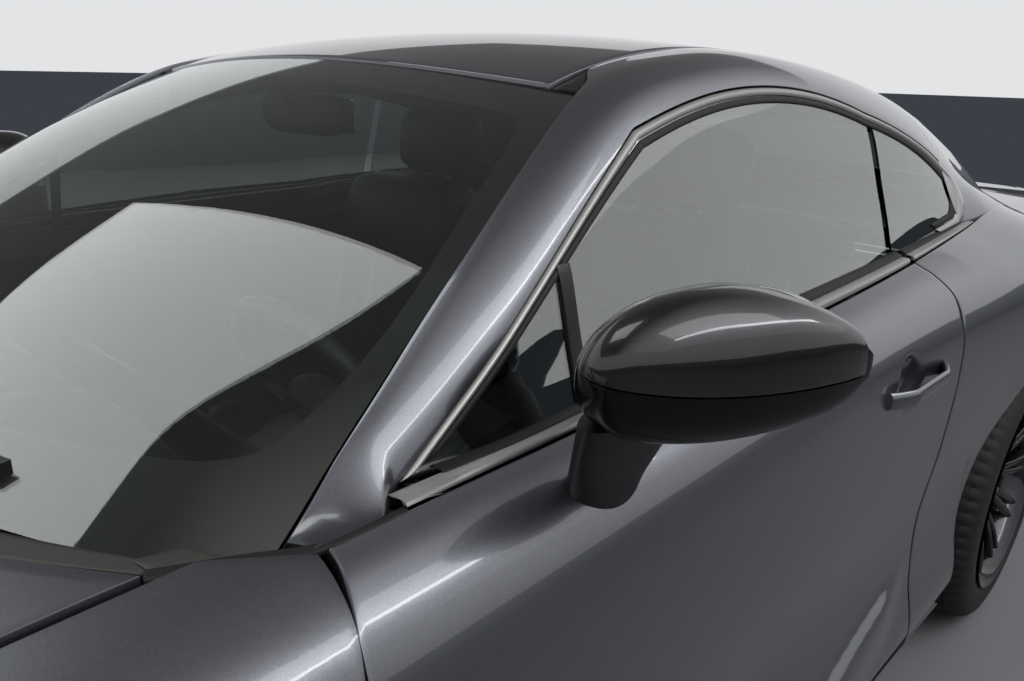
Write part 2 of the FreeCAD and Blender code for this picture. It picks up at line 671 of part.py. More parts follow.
def mirror_head():
    wires = []
    for y, x0, x1, z0, z1 in MIRROR_ROWS:
        wires.append(oval(lambda u, v, y=y: V(u, y, v), x0, x1, z0, z1))
    return Part.makeLoft(wires, True, False)


arm_low = oval(lambda u, v: V(u, v, 890), MIRROR_BASE_X[0], MIRROR_BASE_X[1], 840, 882)
arm_high = oval(lambda u, v: V(u, v, 1010), MIRROR_BASE_X[0] + 10, MIRROR_BASE_X[1] - 14, 884, 916)
mirror_arm = Part.makeLoft([arm_low, arm_high], True, True)
mirror = largest(joined([mirror_head(), mirror_arm]).cut(door))

# Door handle, left: a strap that stands off the door between its two feet
x0, x1, foot_y, bow_y, z0, z1, strap = HANDLE
middle = (x0 + x1) / 2
handle_wire = Part.Wire([
    Part.Arc(V(x0, foot_y, z0), V(middle, bow_y, z0), V(x1, foot_y + 4, z0)).toShape(),
    Part.LineSegment(V(x1, foot_y + 4, z0), V(x1 + 22, foot_y + 4, z0)).toShape(),
    Part.Arc(V(x1 + 22, foot_y + 4, z0), V(middle, bow_y - strap, z0), V(x0 - 22, foot_y, z0)).toShape(),
    Part.LineSegment(V(x0 - 22, foot_y, z0), V(x0, foot_y, z0)).toShape(),
])
handle = Part.Face(handle_wire).extrude(V(0, 0, z1 - z0)).cut(door)
handle = max(handle.Solids, key=lambda solid: solid.BoundBox.YMax)

for side, turn in (("left", lambda shape: shape), ("right", mirrored)):
    add("door_" + side, turn(door))
    add("door_glass_" + side, turn(door_pane))
    add("door_mirror_" + side, turn(mirror))
    add("door_handle_" + side, turn(handle))

# Hinges of the hood and the trunk lid: arms carry pins across the car
hx, hy = HOOD_HINGE
edge_y, edge_z, crown = row_at(HOOD_ROWS, hx)
hood_pin_z = crown - (crown - edge_z) * (hy / edge_y)**2 - PIN_DEPTH
lx, ly = LID_HINGE
edge_y, edge_z, crown = row_at(DECK_ROWS, lx)
lid_pin_z = crown - (crown - edge_z) * (ly / edge_y)**2 - PIN_DEPTH


def cross_pin(x, y, z, grow, half):
    return along_y(PIN_R + grow, x, z, y - half, y + half)


hood_arms = []
lid_arms = []
for side in (1, -1):
    wide = ARM_WIDTH / 2 + 5
    y = side * hy
    hood = hood.cut([
        box(hx - 40, hx + 9, y - wide, y + wide, hood_pin_z - 20, hood_pin_z + 8),
        cross_pin(hx, y, hood_pin_z, PIN_CLEAR, PIN_HALF + 3)])
    hood_arms.append(joined([
        box(hx - 5, hx + 5, y - ARM_WIDTH / 2, y + ARM_WIDTH / 2, 876, hood_pin_z),
        cross_pin(hx, y, hood_pin_z, 0, PIN_HALF)]))
    y = side * ly
    trunk_lid = trunk_lid.cut([
        box(lx - 9, lx + 40, y - wide, y + wide, lid_pin_z - 20, lid_pin_z + 7),
        cross_pin(lx, y, lid_pin_z, PIN_CLEAR, PIN_HALF + 3)])
    lid_arms.append(joined([
        box(lx - 5, lx + 5, y - ARM_WIDTH / 2, y + ARM_WIDTH / 2, LID_ARM_Z, lid_pin_z),
        box(lx - 5, wall_x + 4, y - ARM_WIDTH / 2, y + ARM_WIDTH / 2, LID_ARM_Z, LID_ARM_Z + 20),
        cross_pin(lx, y, lid_pin_z, 0, PIN_HALF)]))
add("hood", largest(hood))
add("trunk_lid", largest(trunk_lid))
add("rear_deck", joined([rear_deck] + lid_arms))

# Body tub: floor, tunnel, firewall, pillars, rails and the panels that carry the skins
tub_left = [
    box(HINGE_PILLAR_X[0] + 20, HINGE_PILLAR_X[1], PILLAR_Y[0], PILLAR_Y[1], SILL_TOP_Z, 900),
    box(HINGE_PILLAR_X[1] - 1, 740, PILLAR_Y[0], PILLAR_Y[1] - 5, 500, 700),
    box(HINGE_PILLAR_X[0] + 20, FIREWALL_X, PILLAR_Y[0] - 10, PILLAR_Y[0], FLOOR_Z + FLOOR_WALL, 880),
    box(665, 740, PILLAR_Y[1] - 10, 900, 500, 700),
    box(LATCH_PILLAR_X[0], LATCH_PILLAR_X[1], REAR_FLOOR_W, PILLAR_Y[1], SILL_TOP_Z, 955),
    box(LATCH_PILLAR_X[0], LATCH_PILLAR_X[0] + 30, PILLAR_Y[1] - 10, 920, 500, 700),
    box(-2130, LATCH_PILLAR_X[0] + 1, REAR_FLOOR_W, REAR_FLOOR_W + PLATE, REAR_FLOOR_Z, REAR_WALL_Z),
    box(FIREWALL_X, 2040, RAIL_Y[0], RAIL_Y[1], RAIL_Z[0], RAIL_Z[1]),
    box(1380, 1410, RAIL_Y[0], 470, RAIL_Z[1] - 1, TOWER_Z + PLATE),
    box(1642, 1672, RAIL_Y[0], 470, RAIL_Z[1] - 1, TOWER_Z + PLATE),
    box(1300, 1750, RAIL_Y[0], 930, TOWER_Z, TOWER_Z + PLATE),
]
tub_middle = [
    box(KICK_X, FIREWALL_X + FIREWALL_WALL, -SILL_IN_Y, SILL_IN_Y, FLOOR_Z, FLOOR_Z + FLOOR_WALL),
    box(FIREWALL_X, FIREWALL_X + FIREWALL_WALL, -PILLAR_Y[0], PILLAR_Y[0], FLOOR_Z, SHELF_Z + PLATE),
    box(SHELF_X, FIREWALL_X + FIREWALL_WALL, -690, 690, SHELF_Z, SHELF_Z + PLATE),
    box(COWL_POST[0], COWL_POST[0] + PLATE, -COWL_POST[1], COWL_POST[1], SHELF_Z + 6, COWL_POST[2]),
    box(KICK_X, FIREWALL_X, -TUNNEL_W, TUNNEL_W, FLOOR_Z, TUNNEL_Z),
    box(KICK_X - 20, KICK_X, -REAR_FLOOR_W - PLATE, REAR_FLOOR_W + PLATE, FLOOR_Z, REAR_FLOOR_Z + 20),
    box(TAIL_FACE_X, KICK_X, -REAR_FLOOR_W, REAR_FLOOR_W, REAR_FLOOR_Z, REAR_FLOOR_Z + 20),
    box(TAIL_FACE_X, TAIL_FACE_X + 20, -850, 850, REAR_FLOOR_Z, 900),
    box(2035, NOSE_FACE_X, -860, 860, 430, 520),
    box(2035, NOSE_FACE_X, -560, 560, 240, 760),
]
tub = joined(tub_middle + tub_left + [mirrored(piece) for piece in tub_left])
tub = tub.cut([
    box(KICK_X - 30, FIREWALL_X + 50, -TUNNEL_W + 18, TUNNEL_W - 18, FLOOR_Z - 5, TUNNEL_Z - 18),
    box(TAIL_FACE_X - 5, TAIL_FACE_X + 30, -480, 480, 520, 860),
    box(2030, NOSE_FACE_X + 5, -RAIL_Y[0], RAIL_Y[0], 300, 700)])
skins = [fender, mirrored(fender), quarter, mirrored(quarter), side_frame, mirrored(side_frame), cowl, bumper]
tub = largest(tub.cut(skins))
tub = joined([tub] + door_arms + [mirrored(arm) for arm in door_arms] + hood_arms)
add("body_tub", tub)

# Cabin
dash_profile = [(600, 560), (556, 690), (585, 850), (630, 888), (SHELF_X, 892), (SHELF_X, SHELF_Z),
                (FIREWALL_X, SHELF_Z), (FIREWALL_X, 600), (880, 540)]
points = [V(x, -686, z) for x, z in dash_profile]
dash = Part.Face(Part.makePolygon(points + points[:1])).extrude(V(0, 1372, 0))
tilt = math.radians(STEER_TILT)
column_way = V(math.cos(tilt), 0, -math.sin(tilt))
hub = V(*WHEEL_HUB)


def on_column(radius, start, end):
    return Part.makeCylinder(radius, end - start, hub + column_way * start, column_way)


dash = joined([dash, on_column(42, COLUMN[0] + 6, COLUMN[1])])
dash = dash.cut(on_column(SHAFT_R + PIN_CLEAR, 0, COLUMN[1] - 40))
add("dashboard", largest(dash))
rim = Part.makeTorus(STEER_R, STEER_TUBE, hub, column_way)
wheel_parts = [rim, on_column(52, -10, COLUMN[0]), on_column(SHAFT_R, 0, COLUMN[1] - 46)]
for degrees in (0, 180, 90):
    spoke = Part.makeBox(12, STEER_R, 30, V(0, 0, -15))
    spoke.rotate(V(0, 0, 0), V(1, 0, 0), -degrees)
    spoke.rotate(V(0, 0, 0), V(0, 1, 0), STEER_TILT)
    spoke.translate(hub)
    wheel_parts.append(spoke)
add("steering_wheel", joined(wheel_parts))
console = [(-330, TUNNEL_Z), (-330, 540), (300, 520), (420, 600), (590, 640), (620, TUNNEL_Z)]
points = [V(x, -110, z) for x, z in console]
console = Part.Face(Part.makePolygon(points + points[:1])).extrude(V(0, 220, 0))
add("console", largest(console.cut(dash)))

floor_top = FLOOR_Z + FLOOR_WALL


def slab(profile, y0, y1):
    ring = [V(x, y0, z) for x, z in profile]
    return Part.Face(Part.makePolygon(ring + ring[:1])).extrude(V(0, y1 - y0, 0))


half_seat = SEAT_WIDTH / 2
seat = joined([
    slab([(120, 300), (140, 430), (100, 480), (-270, 452), (-455, 1010), (-570, 1000), (-440, 330),
          (-390, 300)], SEAT_Y - half_seat, SEAT_Y + half_seat),
    slab([(-448, 990), (-470, 1180), (-556, 1172), (-560, 990)], SEAT_Y - 125, SEAT_Y + 125),
    box(-380, 60, SEAT_Y - 200, SEAT_Y - 170, floor_top, 301),
    box(-380, 60, SEAT_Y + 170, SEAT_Y + 200, floor_top, 301),
])
add("front_seats", both_sides(seat))
rear_floor_top = REAR_FLOOR_Z + 20
rear_seat = slab([(-600, rear_floor_top), (-600, 520), (-1000, 500), (-1110, 950), (-1210, 940),
                  (-1100, rear_floor_top)], -560, 560)
add("rear_seat", rear_seat)
cabin_mirror = joined([box(118, 150, -125, 125, 1180, 1245), box(130, 215, -12, 12, 1205, 1320)])
cabin_mirror = cabin_mirror.cut([windshield, roof])
add("cabin_mirror", min(cabin_mirror.Solids, key=lambda solid: solid.BoundBox.ZMin))

# Engine and exhaust
add("engine", box(1160, 1820, -300, 300, 230, 820))
exhaust = [
    Part.makeCylinder(25, 2950, V(-1750, 0, FLOOR_Z - 25), V(1, 0, 0)),
    upright(25, 1175, 0, FLOOR_Z - 25, 230),
    upright(25, -1725, 0, FLOOR_Z - 25, 240),
    box(-2060, -1690, -560, 560, 230, 360),
    box(-1900, -1860, -30, 30, 355, REAR_FLOOR_Z),
]
for y, z in exhaust_tips:
    exhaust.append(Part.makeCylinder(42, 330, V(-2370, y, z), V(1, 0, 0)))
add("exhaust", joined(exhaust))

# Front suspension: crossmember, arms and dampers for both sides
arm_plan = [(22, 748), (30, 600), (110, 470), (110, 440), (-110, 440), (-110, 470), (-30, 600), (-22, 748)]


def wishbone(low, high):
    ring = [V(FRONT_AXLE_X + dx, y, low) for dx, y in arm_plan]
    return Part.Face(Part.makePolygon(ring + ring[:1])).extrude(V(0, 0, high - low))


pin_long = 22
front_left = [
    wishbone(*LOWER_ARM_Z),
    wishbone(*UPPER_ARM_Z),
    upright(BALL_R, FRONT_AXLE_X, KINGPIN_Y, LOWER_ARM_Z[0], LOWER_ARM_Z[1] + pin_long),
    upright(BALL_R, FRONT_AXLE_X, KINGPIN_Y, UPPER_ARM_Z[0] - pin_long, UPPER_ARM_Z[1]),
    upright(38, FRONT_AXLE_X, 540, LOWER_ARM_Z[0], TOWER_Z),
    box(FRONT_AXLE_X - 110, FRONT_AXLE_X + 110, RAIL_Y[1], 470, LOWER_ARM_Z[0], UPPER_ARM_Z[1]),
]
crossmember = box(FRONT_AXLE_X - 110, FRONT_AXLE_X + 110, -RAIL_Y[1] - 5, RAIL_Y[1] + 5, LOWER_ARM_Z[0], 230)
add("front_suspension", joined([crossmember] + front_left + [mirrored(piece) for piece in front_left]))

# Rear suspension: subframe, drive unit, half shafts, uprights with their stub axles
rear_hub_y = REAR_TRACK / 2
front_hub_y = FRONT_TRACK / 2
rx = REAR_AXLE_X
rear_left = [
    box(rx - 50, rx + 50, REAR_KNUCKLE_Y[0], REAR_KNUCKLE_Y[1], 205, 400),
    along_y(SPINDLE_R, rx, TYRE_R, REAR_KNUCKLE_Y[1] - 5, rear_hub_y + HUB_FACE + HUB_THICK),
    along_y(16, rx, TYRE_R, 100, REAR_KNUCKLE_Y[0] + 5),
    box(rx - 130, rx + 40, 460, REAR_KNUCKLE_Y[0] + 5, 205, 230),
    box(rx - 25, rx + 25, 430, REAR_KNUCKLE_Y[0] + 5, 366, 384),
    box(rx - 40, rx + 40, 430, 470, 240, 384),
    upright(40, rx - 88, 560, 225, REAR_FLOOR_Z),
]
rear_middle = [box(rx - 160, rx + 160, -470, 470, 200, 245), box(rx - 100, rx + 95, -110, 110, 240, 384)]
add("rear_suspension", joined(rear_middle + rear_left + [mirrored(piece) for piece in rear_left]))

# Knuckles with their stub axles and calipers
fx = FRONT_AXLE_X
knuckle = joined([
    box(fx - 28, fx + 28, KINGPIN_Y - 28, KINGPIN_Y + 28, KNUCKLE_Z[0], KNUCKLE_Z[1]),
    along_y(SPINDLE_R, fx, TYRE_R, KINGPIN_Y, front_hub_y + HUB_FACE + HUB_THICK),
    box(fx - 150, fx - 20, KINGPIN_Y - 20, KINGPIN_Y + 10, TYRE_R - 50, TYRE_R - 25),
    box(fx + 20, fx + 115, KINGPIN_Y + 6, KINGPIN_Y + 28, TYRE_R - 30, TYRE_R + 30),
    box(fx + 100, fx + 188, front_hub_y - 38, front_hub_y + 34, TYRE_R - 58, TYRE_R + 58),
])
knuckle = knuckle.cut([
    upright(BALL_R + PIN_CLEAR, fx, KINGPIN_Y, KNUCKLE_Z[0], LOWER_ARM_Z[1] + pin_long + 2),
    upright(BALL_R + PIN_CLEAR, fx, KINGPIN_Y, UPPER_ARM_Z[0] - pin_long - 2, KNUCKLE_Z[1]),
    along_y(DISC_R + 6, fx, TYRE_R, front_hub_y - DISC_THICK / 2 - 4, front_hub_y + DISC_THICK / 2 + 4).cut(
        along_y(SPINDLE_R, fx, TYRE_R, front_hub_y - 100, front_hub_y + 100))])
knuckle = largest(knuckle)
add("knuckle_left", knuckle)
add("knuckle_right", mirrored(knuckle))

# Wheels


def turned(profile):
    ring = [V(r, y, 0) for r, y in profile]
    face = Part.Face(Part.makePolygon(ring + ring[:1]))
    return face.revolve(V(0, 0, 0), V(0, 1, 0), 360)


def wheel_rim():
    pieces = [turned(RIM_PROFILE), along_y(HUB_R, 0, 0, HUB_FACE, HUB_FACE + HUB_THICK)]
    ring = [V(r, y, -11) for r, y in SPOKE_PROFILE]
    spoke = Part.Face(Part.makePolygon(ring + ring[:1])).extrude(V(0, 0, 22))
    for k in range(SPOKES):
        pieces.append(spoke.rotated(V(0, 0, 0), V(0, 1, 0), k * 360 / SPOKES))
    pieces.append(along_y(DISC_R, 0, 0, -DISC_THICK / 2, DISC_THICK / 2))
    pieces.append(along_y(HAT_R, 0, 0, DISC_THICK / 2 - 1, HUB_FACE + 1))
    bore = along_y(SPINDLE_R + PIN_CLEAR, 0, 0, -100, 200)
    return joined(pieces).cut(bore)


rim_outboard_left = wheel_rim()
tyre = turned(TYRE_PROFILE)
for side, sign in (("left", 1), ("right", -1)):
    for end, x, hub_y in (("front", FRONT_AXLE_X, front_hub_y), ("rear", REAR_AXLE_X, rear_hub_y)):
        rim_here = rim_outboard_left if sign == 1 else mirrored(rim_outboard_left)
        add("wheel_" + end + "_" + side, rim_here.translated(V(x, sign * hub_y, TYRE_R)))
        add("tyre_" + end + "_" + side, tyre.translated(V(x, sign * hub_y, TYRE_R)))

os.makedirs("parts", exist_ok=True)
for name, shape in parts.items():
    shape.exportStep("parts/" + name + ".step")
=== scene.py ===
import bisect
import functools
import math
import bmesh
import bpy
from mathutils import Matrix, Vector


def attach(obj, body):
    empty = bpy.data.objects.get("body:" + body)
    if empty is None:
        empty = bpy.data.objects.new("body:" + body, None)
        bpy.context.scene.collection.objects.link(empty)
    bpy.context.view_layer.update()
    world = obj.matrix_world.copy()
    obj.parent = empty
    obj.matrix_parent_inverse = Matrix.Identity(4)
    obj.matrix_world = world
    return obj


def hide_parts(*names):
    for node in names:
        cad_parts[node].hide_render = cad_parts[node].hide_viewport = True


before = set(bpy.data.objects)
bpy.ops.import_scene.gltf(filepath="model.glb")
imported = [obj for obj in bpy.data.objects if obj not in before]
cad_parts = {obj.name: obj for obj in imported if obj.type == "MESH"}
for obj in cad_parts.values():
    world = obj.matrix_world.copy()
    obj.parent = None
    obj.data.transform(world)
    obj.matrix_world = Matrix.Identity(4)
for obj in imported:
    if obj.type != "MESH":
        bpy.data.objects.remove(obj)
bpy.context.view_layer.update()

MM = 0.001
LEFT = Vector((0, 1, 0))
UP = Vector((0, 0, 1))

# Form of the body, in millimetres: the same stations and edges as the construction model.
# Each row of the first two tables is a cross-section: x, then y and z of the top edge, the
# shoulder, the widest point, the waist, the rocker and the bottom edge.
FENDER_ROWS = (
    (2150, 640, 770, 760, 735, 850, 640, 860, 500, 850, 330, 830, 200),
    (1850, 712, 835, 830, 800, 905, 690, 908, 500, 900, 300, 880, 190),
    (1526, 735, 885, 860, 850, 938, 740, 940, 560, 925, 320, 890, 180),
    (1100, 740, 925, 850, 890, 915, 780, 900, 520, 905, 260, 885, 175),
    (650, 748, 948, 858, 905, 893, 790, 878, 480, 905, 240, 885, 172),
)
SIDE_ROWS = (
    (650, 795, 942, 858, 905, 893, 790, 878, 480, 905, 240, 885, 172),
    (0, 800, 957, 864, 918, 895, 800, 876, 480, 908, 240, 888, 172),
    (-560, 800, 980, 872, 935, 905, 815, 885, 490, 912, 245, 892, 175),
    (-900, 792, 1004, 895, 952, 932, 825, 910, 530, 922, 275, 895, 178),
    (-1200, 775, 1024, 908, 966, 957, 830, 955, 600, 940, 320, 900, 190),
    (-1700, 735, 953, 872, 905, 930, 800, 925, 600, 905, 350, 870, 210),
    (-2150, 690, 944, 806, 893, 864, 780, 868, 600, 850, 400, 820, 260),
)
# How far each stretch of a section bows out, and the way inwards, y and z, at each of its corners
SIDE_BOW = (5, 10, 5, -6, 2)
SIDE_INWARD = ((-0.5, -0.9), (-0.8, -0.6), (-1, 0), (-1, 0), (-1, 0), (-1, 0))
# Greenhouse: x, then y and z of its foot, of the roof rail and of the glass edge, then the crown
TOP_ROWS = (
    (1000, 884, 740, 886, 780, 876, 805, 955),
    (800, 812, 800, 815, 853, 803, 879, 1046),
    (643, 768, 850, 760, 900, 745, 926, 1118),
    (400, 792, 888, 743, 1070, 656, 1115, 1226),
    (112, 800, 908, 677, 1246, 550, 1274, 1315),
    (-130, 799, 920, 661, 1286, 552, 1326, 1352),
    (-400, 794, 932, 667, 1278, 552, 1328, 1362),
    (-820, 772, 978, 705, 1182, 560, 1283, 1322),
    (-1200, 764, 998, 700, 1076, 566, 1190, 1232),
    (-1640, 735, 944, 690, 962, 600, 998, 1028),
    (-1688, 732, 942, 686, 958, 600, 986, 1010),
)
# Bow of the greenhouse below and above the roof rail, as a share of the stretch
FOOT_BOW = 0.02
RAIL_BOW = 0.10
REAR_FOOT_BOW = 2
# Hood: x, then y and z of its side edge, then the crown
HOOD_ROWS = (
    (2240, 600, 752, 786),
    (2150, 634, 771, 812),
    (1850, 706, 836, 882),
    (1526, 729, 886, 938),
    (1100, 734, 926, 982),
    (740, 734, 944, 1000),
    (600, 742, 950, 1004),
)
# Plan edges: corner x and y, then centre x
WINDSHIELD_FOOT = (700, 766, 972)
WINDSHIELD_HEAD = (112, 550, 150)
REAR_GLASS_HEAD = (-830, 560, -800)
REAR_GLASS_FOOT = (-1606, 600, -1640)
DECK_EDGE = (-1682, 600, -1685)
HOOD_REAR = (752, 731, 1040)
HOOD_FRONT = (2080, 640, 2200)
# Window opening: each corner's x and z, and a point on the arc to the next corner
WINDOW_ARCS = (
    ((552, 935), (301, 1124)),
    ((128, 1231), (-196, 1280)),
    ((-552, 1239), (-790, 1180)),
    ((-975, 1112), (-1020, 1058)),
    ((-975, 1002), (-205, 964)),
)
SILL_TOP_Z = 232
FRONT_AXLE_X = 1526
REAR_AXLE_X = -1225
TYRE_R = 343
FRONT_HUB_Y = 791
REAR_HUB_Y = 810
FRONT_ARCH_R = 380
REAR_ARCH_R = 395
PANEL_WALL = 12
PANEL_EDGE = 1.5
GLASS_SET_IN = 3
# Where the roof side ends beside the roof's groove: 1 is the rail, 2 the glass edge
DITCH_T = 1.97
# Corners closer than this, in metres, are one
MERGE = 1e-6
BISECTIONS = 18


# Curves and surfaces
def through(knots, s):
    """Values on a smooth curve through knots, each (place, value, value, ...)."""
    s = min(max(s, knots[0][0]), knots[-1][0])
    i = min(bisect.bisect_right([k[0] for k in knots], s), len(knots) - 1) - 1
    here, there = knots[i], knots[i + 1]
    step = there[0] - here[0]
    t = (s - here[0]) / step
    before = knots[i - 1] if i > 0 else None
    after = knots[i + 2] if i + 2 < len(knots) else None
    values = []
    for k in range(1, len(here)):
        mid = (there[k] - here[k]) / step
        start = mid if before is None else ((here[k] - before[k]) / (here[0] - before[0]) + mid) / 2
        end = mid if after is None else (mid + (after[k] - there[k]) / (after[0] - there[0])) / 2
        values.append((2 * t**3 - 3 * t**2 + 1) * here[k] + (t**3 - 2 * t**2 + t) * step * start
                      + (3 * t**2 - 2 * t**3) * there[k] + (t**3 - t**2) * step * end)
    return values


def row_at(rows, x):
    """Cross-section values at x."""
    return through(sorted(rows), x)


def bowed(p, q, bow):
    """Middle of a stretch, moved square to it by bow."""
    dy, dz = q[0] - p[0], q[1] - p[1]
    run = math.hypot(dy, dz)
    return ((p[0] + q[0]) / 2 - dz / run * bow, (p[1] + q[1]) / 2 + dy / run * bow)


def knots_of(points):
    """Points of a section with the run along it, ready for a smooth curve."""
    knots, run = [], 0
    for k, p in enumerate(points):
        if k:
            run += math.dist(p, points[k - 1])
        knots.append((run, p[0], p[1]))
    return knots


def side_line(rows, x):
    """Corners of the body side at x, from the top edge down, with the middle of each stretch."""
    flat = row_at(rows, x)
    points = list(zip(flat[0::2], flat[1::2]))
    line = [points[0]]
    for p, q, bow in zip(points, points[1:], SIDE_BOW):
        line += [bowed(p, q, bow), q]
    return line


@functools.lru_cache(maxsize=None)
def side_knots(rows, x):
    return knots_of(side_line(rows, x))


@functools.lru_cache(maxsize=None)
def dome_knots(x):
    fy, fz, ry, rz, ey, ez, crown = row_at(TOP_ROWS, x)
    foot, rail, edge = (fy, fz), (ry, rz), (ey, ez)
    low = bowed(rail, foot, FOOT_BOW * math.dist(rail, foot))
    high = bowed(edge, rail, RAIL_BOW * math.dist(edge, rail))
    half = (ey / 2, crown - (crown - ez) / 4)
    return knots_of([foot, low, rail, high, edge, half, (0, crown)])


def on_knots(knots, t):
    """Point of a section at t, where each knot is half a step."""
    place = 2 * t
    i = min(int(place), len(knots) - 2)
    s = knots[i][0] + (place - i) * (knots[i + 1][0] - knots[i][0])
    return through(knots, s)


def side(rows, x, t, depth=0.0):
    """Point of the body side: t runs from the top edge, 0, to the bottom edge, 5."""
    y, z = on_knots(side_knots(rows, round(x, 2)), t)
    i = min(int(t), 4)
    f = t - i
    dy = SIDE_INWARD[i][0] * (1 - f) + SIDE_INWARD[i + 1][0] * f
    dz = SIDE_INWARD[i][1] * (1 - f) + SIDE_INWARD[i + 1][1] * f
    return Vector((x, y + dy * depth, z + dz * depth))


def last_where(before, low, high):
    """Last place between low and high where before(place) still holds."""
    for _ in range(BISECTIONS):
        middle = (low + high) / 2
        if before(middle):
            low = middle
        else:
            high = middle
    return low


def side_t(rows, x, z):
    """Where the body side at x has height z."""
    knots = side_knots(rows, round(x, 2))
    return last_where(lambda t: on_knots(knots, t)[1] > z, 0.0, 5.0)


def dome(x, t, depth=0.0):
    """Point of the greenhouse: t runs from its foot, 0, by rail, 1, and edge, 2, to the centre, 3."""
    knots = dome_knots(round(x, 2))
    y, z = on_knots(knots, t)
    if depth:
        a, b = on_knots(knots, max(t - 0.05, 0)), on_knots(knots, min(t + 0.05, 3))
        run = math.dist(a, b)
        y, z = y - (b[1] - a[1]) / run * depth, z + (b[0] - a[0]) / run * depth
    return Vector((x, y, z))


def dome_t(x, z):
    """Where the greenhouse at x has height z, below the glass edge."""
    knots = dome_knots(round(x, 2))
    return last_where(lambda t: on_knots(knots, t)[1] < z, 0.0, 2.0)


def top(x, y, depth=0.0):
    """Point of the windshield, roof or rear glass under plan position x, y."""
    values = row_at(TOP_ROWS, x)
    ey, ez, crown = values[4:]
    return Vector((x, y, crown - (crown - ez) * (y / ey)**2 - depth))


def arc_points(p, via, q, count):
    """Points on the circle through three points, without the last one."""
    ax, az, bx, bz, cx, cz = *p, *via, *q
    d = 2 * (ax * (bz - cz) + bx * (cz - az) + cx * (az - bz))
    a2, b2, c2 = ax * ax + az * az, bx * bx + bz * bz, cx * cx + cz * cz
    ux = (a2 * (bz - cz) + b2 * (cz - az) + c2 * (az - bz)) / d
    uz = (a2 * (cx - bx) + b2 * (ax - cx) + c2 * (bx - ax)) / d
    radius = math.dist(p, (ux, uz))
    start = math.atan2(az - uz, ax - ux)
    sweep = (math.atan2(cz - uz, cx - ux) - start) % math.tau
    middle = (math.atan2(bz - uz, bx - ux) - start) % math.tau
    if middle > sweep:
        sweep -= math.tau
    turns = [start + sweep * k / count for k in range(count)]
    return [(ux + radius * math.cos(a), uz + radius * math.sin(a)) for a in turns]


def line_knots(points):
    """A plane line as knots, its place running from 0 to 1."""
    runs = [0]
    for a, b in zip(points, points[1:]):
        runs.append(runs[-1] + math.dist(a, b))
    return [(r / runs[-1], *p) for r, p in zip(runs, points)]


def smooth_step(a, b, x):
    """0 at a and before it, 1 at b and beyond, with a soft change between."""
    t = min(max((x - a) / (b - a), 0), 1)
    return t * t * (3 - 2 * t)


# Making pieces
def colour(code):
    """sRGB hex code as linear RGBA."""
    parts = [int(code[i:i + 2], 16) / 255 for i in (1, 3, 5)]
    return tuple(c / 12.92 if c <= 0.04045 else ((c + 0.055) / 1.055)**2.4 for c in parts) + (1.0,)


def sheet(nu, nv, place):
    """Grid whose corners are put by place(u, v) in millimetres."""
    bm = bmesh.new()
    bmesh.ops.create_grid(bm, x_segments=nu, y_segments=nv, size=0.5)
    for vert in bm.verts:
        vert.co = place(vert.co.x + 0.5, vert.co.y + 0.5) * MM
    return bm


def block(nu, nv, nw, place):
    """Closed block of nu by nv by nw cells. place(u, v, w) gives each corner in millimetres."""
    bm = bmesh.new()
    bmesh.ops.create_cube(bm, size=1)
    for axis, cells in ((0, nu), (1, nv), (2, nw)):
        edges = [e for e in bm.edges if abs(e.verts[0].co[axis] - e.verts[1].co[axis]) > 1e-4]
        if cells > 1:
            bmesh.ops.subdivide_edges(bm, edges=edges, cuts=cells - 1, use_grid_fill=True)
    for vert in bm.verts:
        vert.co = place(*(c + 0.5 for c in vert.co)) * MM
    bmesh.ops.remove_doubles(bm, verts=bm.verts, dist=MERGE)
    bmesh.ops.recalc_face_normals(bm, faces=bm.faces)
    return bm


def solid_box(x0, x1, y0, y1, z0, z1):
    def place(u, v, w):
        return Vector((x0 + (x1 - x0) * u, y0 + (y1 - y0) * v, z0 + (z1 - z0) * w))

    return block(1, 1, 1, place)


def turned(profile, centre, axis, steps=64):
    """Solid of revolution. profile is (distance along axis, radius); centre and axis are vectors."""
    bm = bmesh.new()
    across = axis.orthogonal().normalized()
    verts = [bm.verts.new((centre + axis * a + across * r) * MM) for a, r in profile]
    for a, b in zip(verts, verts[1:]):
        bm.edges.new((a, b))
    bmesh.ops.spin(bm, geom=bm.verts[:] + bm.edges[:], cent=centre * MM, axis=axis, angle=math.tau,
                   steps=steps, use_merge=True)
    bmesh.ops.remove_doubles(bm, verts=bm.verts, dist=MERGE)
    bmesh.ops.recalc_face_normals(bm, faces=bm.faces)
    return bm


def capped(bm):
    """Open ends filled, and all faces turned outwards."""
    bmesh.ops.holes_fill(bm, edges=[e for e in bm.edges if e.is_boundary], sides=0)
    bmesh.ops.recalc_face_normals(bm, faces=bm.faces)
    return bm


def tube(nu, nv, place):
    """Tube that closes on itself round v, and round u or by flat ends."""
    bm = sheet(nu, nv, place)
    bmesh.ops.remove_doubles(bm, verts=bm.verts, dist=MERGE)
    return capped(bm)


def swept(path, ring):
    """Bar along path, a list of (point, out, up) in millimetres, with section points ring (out, up)."""
    def place(u, v):
        point, out, up = path[round(u * (len(path) - 1))]
        a, b = ring[round(v * len(ring)) % len(ring)]
        return point + out * a + up * b

    return tube(len(path) - 1, len(ring), place)


def soften(bm, width, angle=35, segments=2):
    """Rounds the edges sharper than angle."""
    bm.normal_update()
    edges = [e for e in bm.edges if e.is_manifold and e.calc_face_angle(0) > math.radians(angle)]
    if edges:
        bmesh.ops.bevel(bm, geom=edges, offset=width * MM, offset_type="OFFSET", segments=segments,
                        profile=0.5, affect="EDGES", clamp_overlap=True, material=-1)
    return bm


def merged(*pieces):
    """One bmesh from several."""
    whole = bmesh.new()
    for bm in pieces:
        mesh = bpy.data.meshes.new("part")
        bm.to_mesh(mesh)
        bm.free()
        whole.from_mesh(mesh)
        bpy.data.meshes.remove(mesh)
    return whole


